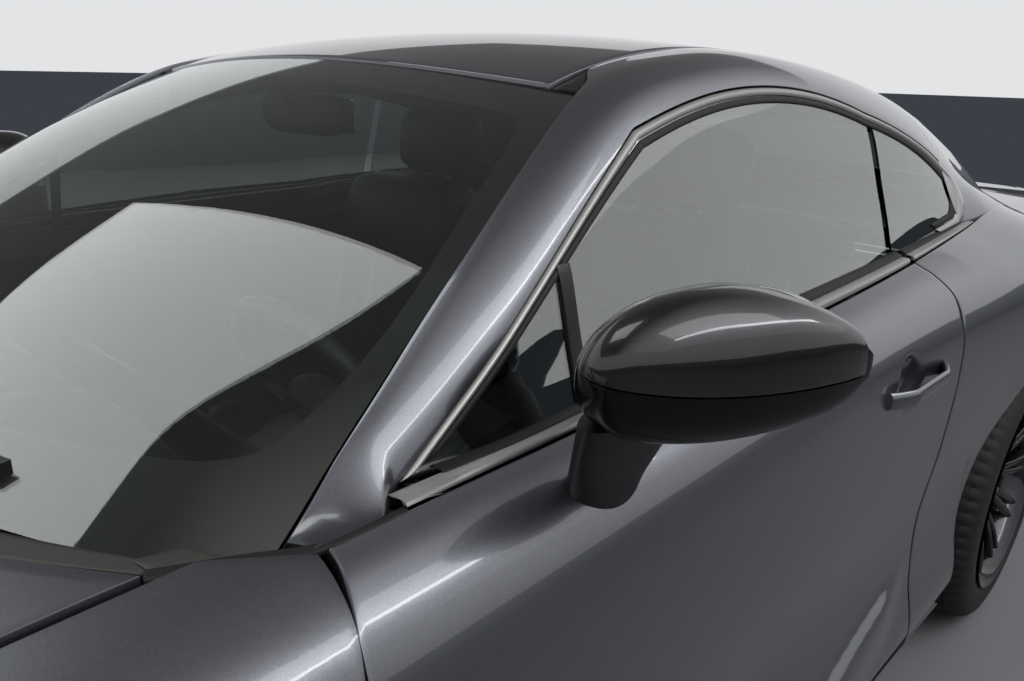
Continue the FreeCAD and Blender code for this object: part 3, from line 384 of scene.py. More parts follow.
def flipped(bm):
    """The same form on the other side of the car."""
    other = bm.copy()
    bmesh.ops.scale(other, vec=(1, -1, 1), verts=other.verts)
    bmesh.ops.reverse_faces(other, faces=other.faces)
    return other


def both(bm):
    """The form and its mirror image as one."""
    return merged(flipped(bm), bm)


# Corners of a construction mesh closer than this, in metres, are one
NODE_MERGE = 2e-5


def from_node(name):
    """Merged copy of a construction node's mesh."""
    bm = bmesh.new()
    bm.from_mesh(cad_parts[name].data)
    bmesh.ops.remove_doubles(bm, verts=bm.verts, dist=NODE_MERGE)
    return bm


def piece(name, bm, body, material, slot, stands_for=(), angle=35):
    """Finished piece: smooth shading with sharp edges over angle, its finish and body. slot is not used."""
    mesh = bpy.data.meshes.new(name)
    bm.to_mesh(mesh)
    bm.free()
    mesh.shade_smooth()
    mesh.set_sharp_from_angle(angle=math.radians(angle))
    mesh.materials.append(material)
    o = bpy.data.objects.new(name, mesh)
    bpy.context.scene.collection.objects.link(o)
    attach(o, body)
    if stands_for:
        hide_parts(*stands_for)
    return o


def pair(name, bm, bodies, material, slot, nodes=(), **more):
    """The piece on the left and its mirror image on the right."""
    other = flipped(bm)
    for end, form, body in (("left", bm, bodies[0]), ("right", other, bodies[1])):
        piece(name + "_" + end, form, body, material, slot, [n + "_" + end for n in nodes], **more)


DOORS = ("door_left", "door_right")
SHELL = ("shell", "shell")


# Finishes
def add(tree, kind, inputs=(), **settings):
    """Adds a node with its settings, values and links."""
    n = tree.nodes.new(kind)
    for key, value in settings.items():
        setattr(n, key, value)
    for key, value in dict(inputs).items():
        if isinstance(value, bpy.types.NodeSocket):
            tree.links.new(value, n.inputs[key])
        else:
            n.inputs[key].default_value = value
    return n


def finish_of(name, **values):
    """A material with its surface shader, ready for more nodes."""
    m = bpy.data.materials.new(name)
    m.use_nodes = True
    shader = m.node_tree.nodes["Principled BSDF"]
    for key, value in values.items():
        shader.inputs[key.replace("_", " ")].default_value = value
    return m, m.node_tree, shader


def metallic_paint(name, dark, light, rough):
    """Base coat with aluminium flake under clear coat: darker away from the light, with glints close up."""
    m, tree, shader = finish_of(name, Metallic=0.95, Roughness=rough, Coat_Weight=1.0,
                                Coat_Roughness=0.02, Coat_IOR=1.5)
    place = add(tree, "ShaderNodeTexCoord")
    # Flake is 0.03 mm wide; it is drawn 0.625 mm wide so that it shows close up
    flake = add(tree, "ShaderNodeTexVoronoi", {"Vector": place.outputs["Object"], "Scale": 1600.0})
    grey = add(tree, "ShaderNodeSeparateColor", {"Color": flake.outputs["Color"]})
    shade = add(tree, "ShaderNodeMix", {0: grey.outputs["Red"], 6: colour(dark), 7: colour(light)},
                data_type="RGBA")
    tree.links.new(shade.outputs[2], shader.inputs["Base Color"])
    return m


def grained(name, code, rough=0.55, grain_mm=0.8, depth=0.15, metallic=0.0, coat=0.0, specular=0.5):
    """Plastic, rubber, cloth or metal with a fine random grain that breaks up its gloss."""
    m, tree, shader = finish_of(name, Base_Color=colour(code), Roughness=rough, Metallic=metallic,
                                Coat_Weight=coat, Coat_Roughness=0.04, Specular_IOR_Level=specular)
    place = add(tree, "ShaderNodeTexCoord")
    grain = add(tree, "ShaderNodeTexNoise",
                {"Vector": place.outputs["Object"], "Scale": 1 / (grain_mm * MM), "Detail": 3.0})
    bump = add(tree, "ShaderNodeBump",
               {"Height": grain.outputs["Fac"], "Strength": depth, "Distance": 0.4 * MM})
    tree.links.new(bump.outputs["Normal"], shader.inputs["Normal"])
    return m


def clear(name, code, rough=0.0, ior=1.5):
    """Glass or clear plastic, tinted by code."""
    return finish_of(name, Base_Color=colour(code), Roughness=rough, Transmission_Weight=1.0, IOR=ior)[0]


def leather(name, dark, light):
    """Dyed hide with pressed grain: dull, with a soft change of tone from place to place."""
    m, tree, shader = finish_of(name, Roughness=0.5)
    place = add(tree, "ShaderNodeTexCoord").outputs["Object"]
    blotch = add(tree, "ShaderNodeTexNoise", {"Vector": place, "Scale": 12.0, "Detail": 4.0})
    spread = add(tree, "ShaderNodeMapRange",
                 {"Value": blotch.outputs["Fac"], "From Min": 0.3, "From Max": 0.7})
    shade = add(tree, "ShaderNodeMix", {0: spread.outputs["Result"], 6: colour(dark), 7: colour(light)},
                data_type="RGBA")
    tree.links.new(shade.outputs[2], shader.inputs["Base Color"])
    # Grain cells are 1.25 mm wide
    cells = add(tree, "ShaderNodeTexVoronoi", {"Vector": place, "Scale": 800.0}, feature="DISTANCE_TO_EDGE")
    bump = add(tree, "ShaderNodeBump",
               {"Height": cells.outputs["Distance"], "Strength": 0.35, "Distance": 0.6 * MM})
    tree.links.new(bump.outputs["Normal"], shader.inputs["Normal"])
    return m


# Sprayed steel under clear coat: cool grey with long soft highlights
paint = metallic_paint("metallic_grey_clear_coat", "#66686e", "#74767c", 0.34)
# The same coat in a darker tone: a nearly black cap with bright edges
mirror_paint = metallic_paint("mirror_cap_dark_metallic", "#2f2d30", "#3a383b", 0.3)
# ABS from a polished mould: deep black with clear reflections
gloss_black = grained("piano_black_abs", "#040506", rough=0.16, depth=0.01, specular=0.3)
# ABS from an etched mould: dull black that still shows its edges
satin_black = grained("grained_black_abs", "#0c0d0f", rough=0.45)
# Extruded rubber: a flat black line round glass and panels
rubber = grained("black_epdm_rubber", "#0a0a0b", rough=0.7)
# Anodised strip: a pale satin line round the side windows
trim_grey = grained("satin_grey_belt_trim", "#a3a2a0", rough=0.38, metallic=0.6, depth=0.03)
# Polypropylene greyed by weather: browner and duller than the trim beside it
cowl_plastic = grained("weathered_cowl_plastic", "#33322f", rough=0.45, depth=0.08)
# Fired enamel on glass: black that shows through the pane's own gloss
frit = grained("ceramic_frit", "#0b0c0c", rough=0.5, depth=0.0)
# Foam-backed skin: soft dark grey without glare
cabin_plastic = grained("soft_touch_dash", "#16171a", rough=0.6)
# Dyed and pressed hides: near black on the seats, a shade lighter on the wheel rim
seat_leather = leather("seat_leather_black", "#131417", "#1b1c20")
wheel_leather = leather("wheel_leather", "#17181a", "#202124")
# Moulded tyre rubber: very dull black
tyre_rubber = grained("tyre_rubber", "#121212", rough=0.75, grain_mm=1.2, depth=0.3)
# Machined and lacquered alloy: dark spokes with bright rims of light
rim_paint = grained("dark_machined_rim", "#2a2c2f", rough=0.28, metallic=0.85, depth=0.03, coat=0.6)
# Sand-cast aluminium: pale and coarse
cast = grained("cast_aluminium", "#8b8d8f", rough=0.5, metallic=0.9, depth=0.4)
# Ground steel: grey with a broad highlight
steel = grained("brushed_steel", "#9b9d9f", rough=0.35, metallic=1.0, depth=0.1)
# Sprayed stone guard: rough near-black that hides the floor's depth
underbody = grained("underbody_coating", "#1a1b1c", rough=0.8, grain_mm=2.0, depth=0.4)
# Dipped and baked primer: even satin black
chassis = grained("black_e_coat", "#1d1e20", rough=0.5)
# Knitted cloth on board: pale, soft and without gloss
headliner = grained("pale_grey_roof_lining", "#5d6061", rough=0.9, grain_mm=1.5, depth=0.4)
# Laminated glass with an infrared coat: faintly green, with a stronger reflection than plain glass
window_glass = clear("green_tint_glass", "#dfeae2", ior=1.65)
# Coated privacy glass: pale green, and half a mirror at a low angle
side_glass = clear("tinted_door_glass", "#ccd8cb", ior=2.4)
# Hard-coated polycarbonate: colourless lamp cover
lamp_lens = clear("clear_polycarbonate", "#f4f6f8")
# Cast acrylic: deep red over dark bars
red_lens = clear("red_acrylic", "#b3121a", rough=0.03)
# Vapour-coated plastic: a clean mirror
bright = grained("aluminised_reflector", "#d8dadc", rough=0.08, metallic=1.0, depth=0.0)


# Outer panels
def ring_line(arcs, count=40):
    """Closed outline of the window opening as one list of x, z."""
    points = []
    for k, (corner, via) in enumerate(arcs):
        points += arc_points(corner, via, arcs[(k + 1) % len(arcs)][0], count)
    return points


def along(knots, s):
    """Point on a plain line of knots."""
    s = min(max(s, 0), 1)
    i = min(bisect.bisect_right([k[0] for k in knots], s), len(knots) - 1) - 1
    a, b = knots[i], knots[i + 1]
    f = (s - a[0]) / (b[0] - a[0])
    return [p + (q - p) * f for p, q in zip(a[1:], b[1:])]


OPENING = ring_line(WINDOW_ARCS)
# Between these places the greenhouse turns into the quarter panel
PILLAR_BLEND = (-940, -1130)


def pillar_foot(x):
    """How far the greenhouse has turned into the quarter panel."""
    return smooth_step(*PILLAR_BLEND, x)


@functools.lru_cache(maxsize=None)
def rear_knots(x):
    ry, rz, ey, ez = row_at(TOP_ROWS, x)[2:6]
    rail, edge = (ry, rz), (ey, ez)
    high = bowed(edge, rail, RAIL_BOW * math.dist(edge, rail))
    line = side_line(SIDE_ROWS, x)
    return knots_of([edge, high, rail, bowed(rail, line[0], REAR_FOOT_BOW)] + line)


def rear(x, t, depth=0.0):
    """Point of the rear body side as one skin: t runs from the glass edge, -2, to the bottom, 5."""
    knots = rear_knots(round(x, 2))
    y, z = on_knots(knots, t + 2)
    if depth:
        a, b = on_knots(knots, t + 1.95), on_knots(knots, t + 2.05)
        run = math.dist(a, b)
        y, z = y + (b[1] - a[1]) / run * depth, z - (b[0] - a[0]) / run * depth
    return Vector((x, y, z))


def cheek(x, t, depth=0.0):
    """Side of the greenhouse, running into the quarter panel behind the window."""
    point = dome(x, t, depth)
    blend = pillar_foot(x)
    return point.lerp(rear(x, -t, depth), blend) if blend else point


def haunch(x, t, depth=0.0):
    """Body side behind the door, running into the greenhouse behind the window."""
    point = side(SIDE_ROWS, x, t, depth)
    blend = pillar_foot(x)
    return point.lerp(rear(x, t, depth), blend) if blend else point


# Windshield's width over that of straight sides, from its foot to its head
EDGE_FLARE = ((0, 1), (0.2, 1), (0.35, 1.02), (0.5, 1.043), (0.68, 1.059), (0.86, 1.073), (1, 1.083))


def flare(v):
    """How much wider than the straight line from foot to head the windshield is at v."""
    return through(EDGE_FLARE, v)[0]


# Roof side's inner edge outboard of the glass edge: along the roof, and more at its front corner
DITCH_OUT, CORNER_OUT = 3, 42


@functools.lru_cache(maxsize=None)
def inner_t(x):
    """Where the roof side's inner edge lies: beside the windshield, and behind it along the ditch."""
    v = (WINDSHIELD_FOOT[0] - x) / (WINDSHIELD_FOOT[0] - WINDSHIELD_HEAD[0])
    if v < 1:
        goal = (WINDSHIELD_FOOT[1] + (WINDSHIELD_HEAD[1] - WINDSHIELD_FOOT[1]) * v) * flare(v)
    elif x > -300:
        goal = row_at(TOP_ROWS, x)[4] + DITCH_OUT + CORNER_OUT * smooth_step(30, 112, x)
    else:
        return DITCH_T
    return last_where(lambda t: dome(x, t)[1] > goal, 1.0, 2.0)


# Roof side, one pressing from the windshield's foot along pillar and rail to the trunk: its outer
# edge as x and place on the section, and its inner edge's x at shares of the way
PILLAR_FRONT_X = 640
PILLAR_FOOT_Z = 933
WINDOW_TAIL = (-976, 1002)
SECTION_STEP = 180
outer_line = [(PILLAR_FRONT_X, PILLAR_FOOT_Z - 1)]
outer_line += [(PILLAR_FRONT_X - k * 11, PILLAR_FOOT_Z) for k in range(1, 8)] + OPENING[:160] + [WINDOW_TAIL]
outer_line = [(x, dome_t(x, z)) for x, z in outer_line] + [(-1000, 0.03)]
outer_line += [(x, 0.0) for x in range(-1020, -1680, -20)]
runs = [0]
for a, b in zip(outer_line, outer_line[1:]):
    runs.append(runs[-1] + math.hypot(a[0] - b[0], SECTION_STEP * (a[1] - b[1])))
outer_knots = [(r / runs[-1], *p) for r, p in zip(runs, outer_line)]
inner_knots = [(0.0, 642), (0.05, 618), (0.42, 112), (0.52, -130), (0.70, -700), (0.80, -980), (1.0, -1664)]
# The pillar's foot runs out to the door's top edge between these places, and ends this far inside it
FOOT_SPREAD = (536, 580)
FOOT_INSIDE, FOOT_UNDER = 12, 4


def roof_side(u, v, w):
    x_out, t_out = along(outer_knots, u)
    x_in = along(inner_knots, u)[0]
    x = x_in + (x_out - x_in) * v
    t_in = inner_t(round(x_in, 1))
    point = cheek(x, t_in + (t_out - t_in) * v, PANEL_WALL * w)
    target = side(SIDE_ROWS, x_out, 0) + Vector((0, -FOOT_INSIDE, -FOOT_UNDER - PANEL_WALL * w))
    return point.lerp(target, smooth_step(*FOOT_SPREAD, x_out) * smooth_step(0, 1, v))


piece("roof_sides", both(soften(block(300, 14, 1, roof_side), PANEL_EDGE)), "shell", paint, "paint",
      ["side_frames"])


# Line between fender and door: it leans forward by the first below its top, then back by the second
SHUT_LINE_LEAN = (24, 13)
SHUT_LINE_FOOT = 11


def shut_line(t):
    return SHUT_LINE_LEAN[0] * smooth_step(0, 1.4, t) - SHUT_LINE_LEAN[1] * smooth_step(1.8, 3.6, t)


def body_panel(skin, rows, top_x, lower, cells):
    """Panel of the body side from its top line down to an outline that may pass over a wheel."""
    low_knots = line_knots(lower)

    def place(u, v, w):
        x_low, z_low = along(low_knots, u)
        x_top = (top_x[0] + (top_x[1] - top_x[0]) * u + x_low) / 2
        x_top = min(max(x_top, min(top_x)), max(top_x))
        x = x_top + (x_low - x_top) * v
        t = side_t(rows, x_low, z_low) * v
        if x_top == min(top_x) > 0:
            x += shut_line(t) - SHUT_LINE_FOOT
        return skin(x, t, PANEL_WALL * w)

    return soften(block(*cells, 1, place), PANEL_EDGE)


def fender_skin(x, t, depth):
    """The fender's top edge leaves the hood's line in front of the door and runs out to it."""
    low = 0.31 * min(max((716 - x) / 64, 0), 1.25)
    return side(FENDER_ROWS, x, low + t * (1 - low / 5), depth)


# Hollow behind the door handle
HANDLE_X, HANDLE_Z = -372, 842
HOLLOW_LONG, HOLLOW_HIGH, HOLLOW_DEEP = 52, 46, 18
# Fold low in the door: where it turns up towards the tail, and how far it stands out
FOLD_TURN_X, FOLD_TURN_Z = -250, 333
FOLD_PROUD = 17
# Its slope before and behind the turn, and where it fades out at its ends
FOLD_SLOPE_FRONT, FOLD_SLOPE_REAR = 0.06, 0.25
FOLD_REAR_END, FOLD_FRONT_END = (-590, -440), (640, 250)


def door_dent(x, z):
    """Depth of the hollow behind the door handle."""
    d = math.hypot((x - HANDLE_X) / HOLLOW_LONG, (z - HANDLE_Z) / HOLLOW_HIGH)
    return HOLLOW_DEEP * (1 - smooth_step(0.3, 1.05, d))


def door_fold(x, z):
    """How far the fold low in the door stands out: its upper flank is steep, its lower one long."""
    slope = FOLD_SLOPE_REAR if x < FOLD_TURN_X else FOLD_SLOPE_FRONT
    at = FOLD_TURN_Z - slope * (x - FOLD_TURN_X)
    rise = smooth_step(at + 26, at - 8, z) * (1 - smooth_step(at - 14, at - 120, z))
    return FOLD_PROUD * rise * smooth_step(*FOLD_REAR_END, x) * smooth_step(*FOLD_FRONT_END, x)


def door_skin(x, t, depth):
    point = side(SIDE_ROWS, x, t, depth)
    point.y += door_fold(x, point.z) - door_dent(x, point.z)
    return point


# Ends of fenders and quarter panels along the car, and their lower outlines round the wheels
FENDER_REAR_X, FENDER_FRONT_X, FENDER_NOSE_X = 653, 2054, 2100
QUARTER_FRONT_X, QUARTER_REAR_X = -608, -2147
BUMPER_LINE_Z = 623
FRONT_ARCH_FOOT = (1162.6, SILL_TOP_Z)
FRONT_ARCH_END = (1782.9, BUMPER_LINE_Z)
REAR_ARCH_FOOT = (-846, SILL_TOP_Z)
REAR_ARCH_END = (-1595, 205)
fender_low = [(FENDER_REAR_X, SILL_TOP_Z)]
fender_low += arc_points(FRONT_ARCH_FOOT, (FRONT_AXLE_X, TYRE_R + FRONT_ARCH_R), FRONT_ARCH_END, 60)
fender_low += [FRONT_ARCH_END, (FENDER_FRONT_X, BUMPER_LINE_Z)]
fender = body_panel(fender_skin, FENDER_ROWS, (FENDER_REAR_X, FENDER_NOSE_X), fender_low, (150, 44))
piece("front_fender_panels", both(fender), "shell", paint, "paint", ["front_fenders"])
quarter_low = [(QUARTER_FRONT_X, SILL_TOP_Z)]
quarter_low += arc_points(REAR_ARCH_FOOT, (REAR_AXLE_X, TYRE_R + REAR_ARCH_R), REAR_ARCH_END, 70)
quarter_low += [REAR_ARCH_END, (QUARTER_REAR_X, 262)]
quarter = body_panel(haunch, SIDE_ROWS, (QUARTER_FRONT_X, QUARTER_REAR_X), quarter_low, (190, 56))
piece("rear_quarter_panels", both(quarter), "shell", paint, "paint", ["quarter_panels"])

DOOR_FRONT_X, DOOR_REAR_X = 636, -602
DOOR_BOTTOM_T = 4
CORE_FRONT_X, CORE_LENGTH = 552, 1126
CORE_DEPTH, CORE_WALL = 30, 62


def door_place(u, v, w):
    front = DOOR_FRONT_X + shut_line(DOOR_BOTTOM_T * v)
    return door_skin(front + (DOOR_REAR_X - front) * u, DOOR_BOTTOM_T * v, PANEL_WALL * w)


def door_core(u, v, w):
    """Body of the door behind its skin."""
    return side(SIDE_ROWS, CORE_FRONT_X - CORE_LENGTH * u, 0.03 + 3.95 * v, CORE_DEPTH + CORE_WALL * w)


door_panel = soften(block(190, 110, 1, door_place), PANEL_EDGE, 50)
pair("door_skin", door_panel, DOORS, paint, "paint", ["door"], angle=60)
door_card = soften(block(40, 20, 1, door_core), 6, segments=3)
pair("door_inner_trim", door_card, DOORS, cabin_plastic, "cabin_trim")


def half_plan(ends, s):
    """x of a plan arc at share s of the way to its left corner."""
    corner_x, corner_y, centre_x = ends
    sag = centre_x - corner_x
    radius = (corner_y**2 + sag**2) / (2 * abs(sag))
    return centre_x - math.copysign(radius - math.sqrt(radius**2 - (s * corner_y)**2), sag)


def between_plans(front, rear_ends, s, v, inset=0.0):
    """Plan point between two arcs across the car: s from -1, right, to 1, left."""
    x = half_plan(front, s) * (1 - v) + half_plan(rear_ends, s) * v
    half = front[1] * (1 - v) + rear_ends[1] * v - inset
    return x, s * half


def shrunk(v, gap, length):
    """v on a length that is shorter by gap at both ends."""
    return gap / length + v * (1 - 2 * gap / length)


HOOD_WALL = 14
BULGE_RISE = 9
BULGE_SIDES = (330, 250)


def hood_place(u, v, w):
    """Hood with a flat bulge along its middle."""
    s = 2 * u - 1
    x = half_plan(HOOD_FRONT, s) * (1 - v) + half_plan(HOOD_REAR, s) * v
    edge_y, edge_z, crown = row_at(HOOD_ROWS, x)
    y = s * edge_y
    bulge = BULGE_RISE * smooth_step(*BULGE_SIDES, abs(y)) * smooth_step(0, 0.35, v) * smooth_step(1, 0.8, v)
    return Vector((x, y, crown - (crown - edge_z) * s * s + bulge - HOOD_WALL * w))


piece("hood_skin", soften(block(90, 70, 1, hood_place), PANEL_EDGE), "hood", paint, "paint", ["hood"])

COWL_FRONT = (748, 722, 1036)
COWL_REAR = (708, 738, 980)
COWL_DROP = 9
COWL_LIP = 5
COWL_WALL = 5


def hood_height(x, y):
    edge_y, edge_z, crown = row_at(HOOD_ROWS, x)
    return crown - (crown - edge_z) * (y / edge_y)**2


def cowl_place(u, v, w):
    """Cover between the hood's rear edge and the windshield, with a lip under the glass."""
    x, y = between_plans(COWL_FRONT, COWL_REAR, 2 * u - 1, v)
    drop = COWL_DROP + COWL_LIP * smooth_step(0.75, 1, v) + COWL_WALL * w
    return Vector((x, y, hood_height(x, y) - drop))


piece("cowl_cover", soften(block(80, 8, 1, cowl_place), 1.2), "shell", cowl_plastic, "black_trim", ["cowl"])


def cowl_cap(u, v, w):
    """End piece of the cover beside the windshield's lower corner."""
    near = Vector((748, 702, 939)).lerp(Vector((743, 725, 937)), v)
    far = Vector((712, 714, 940)).lerp(Vector((690, 748, 934)), v)
    return near.lerp(far, u) + Vector((0, 0, 1.5 * math.sin(math.pi * v) - COWL_WALL * w))


piece("cowl_end_caps", both(soften(block(6, 6, 1, cowl_cap), 1.2)), "shell", cowl_plastic, "black_trim")


# Middle line of the seal: share of the way, then x, y and z
FENDER_SEAL = (
    (0, 748, 727, 938), (0.33, 690, 754, 937), (0.62, 636, 780, 936), (0.8, 592, 785, 938),
    (1, 552, 787, 940),
)


def fender_seal(u, v, w):
    """Rubber strip between the fender's top edge and the pillar's foot."""
    x, y, z = through(FENDER_SEAL, u)
    across = 2 * v - 1
    half = 7 - 2 * smooth_step(0.5, 0.7, u)
    return Vector((x + 3 * across, y + half * across, z - 5 * w + 1.5 * math.sin(math.pi * v)))


piece("fender_seals", both(soften(block(48, 4, 1, fender_seal), 0.8)), "shell", rubber, "black_trim")


def roof_place(u, v, w):
    x, y = between_plans(WINDSHIELD_HEAD, REAR_GLASS_HEAD, 2 * u - 1, shrunk(v, 2, 950), 10)
    return top(x, y, PANEL_WALL * w)


piece("roof_skin", soften(block(64, 80, 1, roof_place), PANEL_EDGE), "shell", paint, "paint", ["roof"])


DITCH_FRONT_X = 108
DITCH_LENGTH = 1745
ROOF_EDGE_Y = 542


def ditch_strip(u, v, w):
    """Moulding in the groove between roof panel and roof side."""
    x = DITCH_FRONT_X - DITCH_LENGTH * u
    inner = top(x, ROOF_EDGE_Y if x > REAR_GLASS_HEAD[0] else row_at(TOP_ROWS, x)[4] - 6)
    outer = cheek(x, inner_t(round(x, 1)) + 0.005)
    point = inner.lerp(outer, v)
    point.z -= 4 + 8 * w + 3 * (2 * v - 1)**2
    return point


ditch_strips = both(soften(block(120, 4, 1, ditch_strip), 0.8))
piece("roof_ditch_strips", ditch_strips, "shell", satin_black, "black_trim")


def rear_apron(u, v, w):
    """Body-coloured strip between the rear glass and the trunk lid."""
    x, y = between_plans(REAR_GLASS_FOOT, DECK_EDGE, 2 * u - 1, shrunk(v, 5, 60), 3)
    return top(x, y, 1 + 5 * w)


piece("rear_glass_apron", soften(block(60, 4, 1, rear_apron), 1), "shell", paint, "paint")

# Glass
GLASS_WALL = 5
BORDER_DEPTH = 6.2


def windshield_place(u, v, w):
    v = shrunk(v, 3, 600)
    x, y = between_plans(WINDSHIELD_FOOT, WINDSHIELD_HEAD, 2 * u - 1, v, 4)
    return top(x, y * flare(v), GLASS_SET_IN + GLASS_WALL * w)


def rear_glass_place(u, v, w):
    x, y = between_plans(REAR_GLASS_HEAD, REAR_GLASS_FOOT, 2 * u - 1, shrunk(v, 3, 800), 4)
    return top(x, y, GLASS_SET_IN + GLASS_WALL * w)


piece("windshield_glass", block(60, 50, 1, windshield_place), "shell", window_glass, "glass", ["windshield"])
piece("rear_window_glass", block(60, 50, 1, rear_glass_place), "shell", window_glass, "glass", ["rear_glass"])


# Ceramic borders: outer place across and along the glass, then the inner edge's place
WINDSHIELD_BORDER = (
    (0, 0, 0, 0, 0.105), (1, 0.4, 0, 0.4, 0.108), (2, 0.72, 0, 0.677, 0.117), (3, 0.88, 0, 0.794, 0.135),
    (4, 0.97, 0, 0.881, 0.165), (5, 1, 0.05, 0.931, 0.21), (6, 1, 0.22, 0.952, 0.295),
    (7, 1, 0.37, 0.965, 0.39), (8, 1, 0.5, 0.965, 0.5), (9, 1, 0.63, 0.956, 0.62),
    (10, 1, 0.8, 0.945, 0.78), (11, 1, 0.96, 0.926, 0.87), (12, 0.98, 1, 0.883, 0.9),
    (13, 0.86, 1, 0.798, 0.906), (14, 0.57, 1, 0.557, 0.905), (15, 0.28, 1, 0.28, 0.903),
    (16, 0, 1, 0, 0.902),
)
REAR_BORDER = (
    (0, 0, 0, 0, 0.1), (1, 0.4, 0, 0.4, 0.1), (2, 0.8, 0, 0.76, 0.1), (3, 0.95, 0, 0.87, 0.115),
    (4, 1, 0.04, 0.915, 0.16), (5, 1, 0.25, 0.93, 0.28), (6, 1, 0.5, 0.93, 0.5), (7, 1, 0.75, 0.93, 0.75),
    (8, 1, 0.96, 0.91, 0.86), (9, 0.95, 1, 0.86, 0.895), (10, 0.8, 1, 0.76, 0.9), (11, 0.4, 1, 0.4, 0.9),
    (12, 0, 1, 0, 0.9),
)


def glass_border(front, rear_ends, length, knots, widened=lambda v: 1):
    """Black ceramic border fired on the inside of a glass, from its outer edge, v = 0, inwards."""
    def place(u, v):
        mirrored = u > 0.5
        s_out, t_out, s_in, t_in = through(knots, (2 - 2 * u if mirrored else 2 * u) * knots[-1][0])
        s, t = s_out + (s_in - s_out) * v, t_out + (t_in - t_out) * v
        t = shrunk(t, 4, length)
        x, y = between_plans(front, rear_ends, -s if mirrored else s, t, 6)
        return top(x, y * widened(t), GLASS_SET_IN + BORDER_DEPTH)

    bm = sheet(256, 6, place)
    bmesh.ops.remove_doubles(bm, verts=bm.verts, dist=10 * MERGE)
    bm.normal_update()
    if sum(f.normal.z * f.calc_area() for f in bm.faces) < 0:
        bmesh.ops.reverse_faces(bm, faces=bm.faces)
    return bm


windshield_frit = glass_border(WINDSHIELD_FOOT, WINDSHIELD_HEAD, 600, WINDSHIELD_BORDER, flare)
piece("windshield_frit", windshield_frit, "shell", frit, "gloss_black")
rear_frit = glass_border(REAR_GLASS_HEAD, REAR_GLASS_FOOT, 800, REAR_BORDER)
piece("rear_window_frit", rear_frit, "shell", frit, "gloss_black")

# Upper and lower line of the window opening, by x
top_half = sorted(OPENING[:140])
low_half = sorted(OPENING[139:] + OPENING[:1])
PANE_FOOT_Z = 925
PANE_WALL = 4


def line_z(line, x):
    """Height of a line of x, z points at x."""
    i = min(max(bisect.bisect_left(line, (x, 0)), 1), len(line) - 1)
    (xa, za), (xb, zb) = line[i - 1], line[i]
    return za + (zb - za) * min(max((x - xa) / (xb - xa), 0), 1) if xb > xa else za


def pane(x_from, x_to, low_z, inset):
    """Side pane between two places, from low_z or the opening's lower line to its upper line."""
    def place(u, v, w):
        x = x_from + (x_to - x_from) * u
        high = line_z(top_half, x) - inset
        low = low_z if low_z else line_z(low_half, x) + inset * 0.2
        z = low + (high - low) * v
        return dome(x, dome_t(x, z), GLASS_SET_IN + PANE_WALL * w)

    return block(48, 20, 1, place)


pair("door_pane", pane(-548, 305, PANE_FOOT_Z, 7), DOORS, side_glass, "glass", ["door_glass"])
pair("fixed_front_pane", pane(312, 535, PANE_FOOT_Z, 7), DOORS, side_glass, "glass")
piece("quarter_panes", both(pane(-1012, -574, 0, 4)), "shell", side_glass, "glass", ["quarter_glass"])

# Window surround: the clear glass's outline, written like the opening's
INNER_ARCS = (
    ((492, 963), (276, 1119)),
    ((122, 1209), (-196, 1257)),
    ((-545, 1217), (-770, 1160)),
    ((-925, 1098), (-945, 1066)),
    ((-905, 1033), (-300, 988)),
)
INNER = ring_line(INNER_ARCS)
STRIP_EDGE = 0.8


def band(first, last, a, b, proud, depth):
    """Strip of the surround between places a and b on the way from the opening to the clear glass."""
    span = last - first

    def place(u, v, w):
        s = first + span * u
        i = min(int(s), len(OPENING) - 1)
        f = s - i
        j = (i + 1) % len(OPENING)
        outer = [p + (q - p) * f for p, q in zip(OPENING[i], OPENING[j])]
        inner = [p + (q - p) * f for p, q in zip(INNER[i], INNER[j])]
        x, z = (p + (q - p) * (a + (b - a) * v) for p, q in zip(outer, inner))
        return cheek(x, dome_t(x, z), -proud * math.sin(math.pi * v) + depth * w + 1.5)

    return soften(block(int(span), 4, 1, place), STRIP_EDGE)


piece("window_trim_upper", both(band(1, 163, 0.1, 0.55, 3.5, 5)), "shell", trim_grey, "black_trim")
piece("window_seal_upper", both(band(1, 163, 0.6, 1.0, 1.5, 6)), "shell", rubber, "black_trim")


def clear_foot_z(x):
    """Height of the clear glass's lower edge: it falls towards the mirror in a flat curve."""
    if x > 0:
        return 992 - 0.03 * (x + 200) - 0.00004 * (x + 200)**2
    return 986 - 0.024 * x


def belt(x_from, x_to, a, b, proud):
    """Strip along the belt line between the panel's top edge and the glass."""
    def place(u, v, w):
        x = x_from + (x_to - x_from) * u
        low = side(SIDE_ROWS, x, 0)
        high = dome(x, dome_t(x, clear_foot_z(x)), GLASS_SET_IN - 1)
        point = low.lerp(high, a + (b - a) * v)
        point.y += proud * math.sin(math.pi * v) - 6 * w
        point.z += 0.6 * proud * math.sin(math.pi * v)
        return point

    return soften(block(60, 4, 1, place), STRIP_EDGE)


pair("belt_trim", belt(-590, 556, 0.1, 0.56, 5), DOORS, trim_grey, "black_trim")
pair("belt_seal", belt(-590, 500, 0.6, 1.0, 1.5), DOORS, rubber, "black_trim")
piece("quarter_belt_trim", both(belt(-985, -612, 0.1, 0.56, 5)), "shell", trim_grey, "black_trim")
piece("quarter_belt_seal", both(belt(-960, -612, 0.6, 1.0, 1.5)), "shell", rubber, "black_trim")


DIVIDER_FOOT = (309, 930)
DIVIDER_RISE = 175
DIVIDER_WIDTH = 20


def divider(u, v, w):
    """Bar between the fixed front pane and the sliding pane."""
    z = DIVIDER_FOOT[1] + DIVIDER_RISE * v
    x = DIVIDER_FOOT[0] - 2 * v + DIVIDER_WIDTH * (u - 0.5)
    return dome(x, dome_t(x, z), 10 * w - 1)


pair("window_divider", soften(block(3, 16, 1, divider), 1.5), DOORS, satin_black, "black_trim")

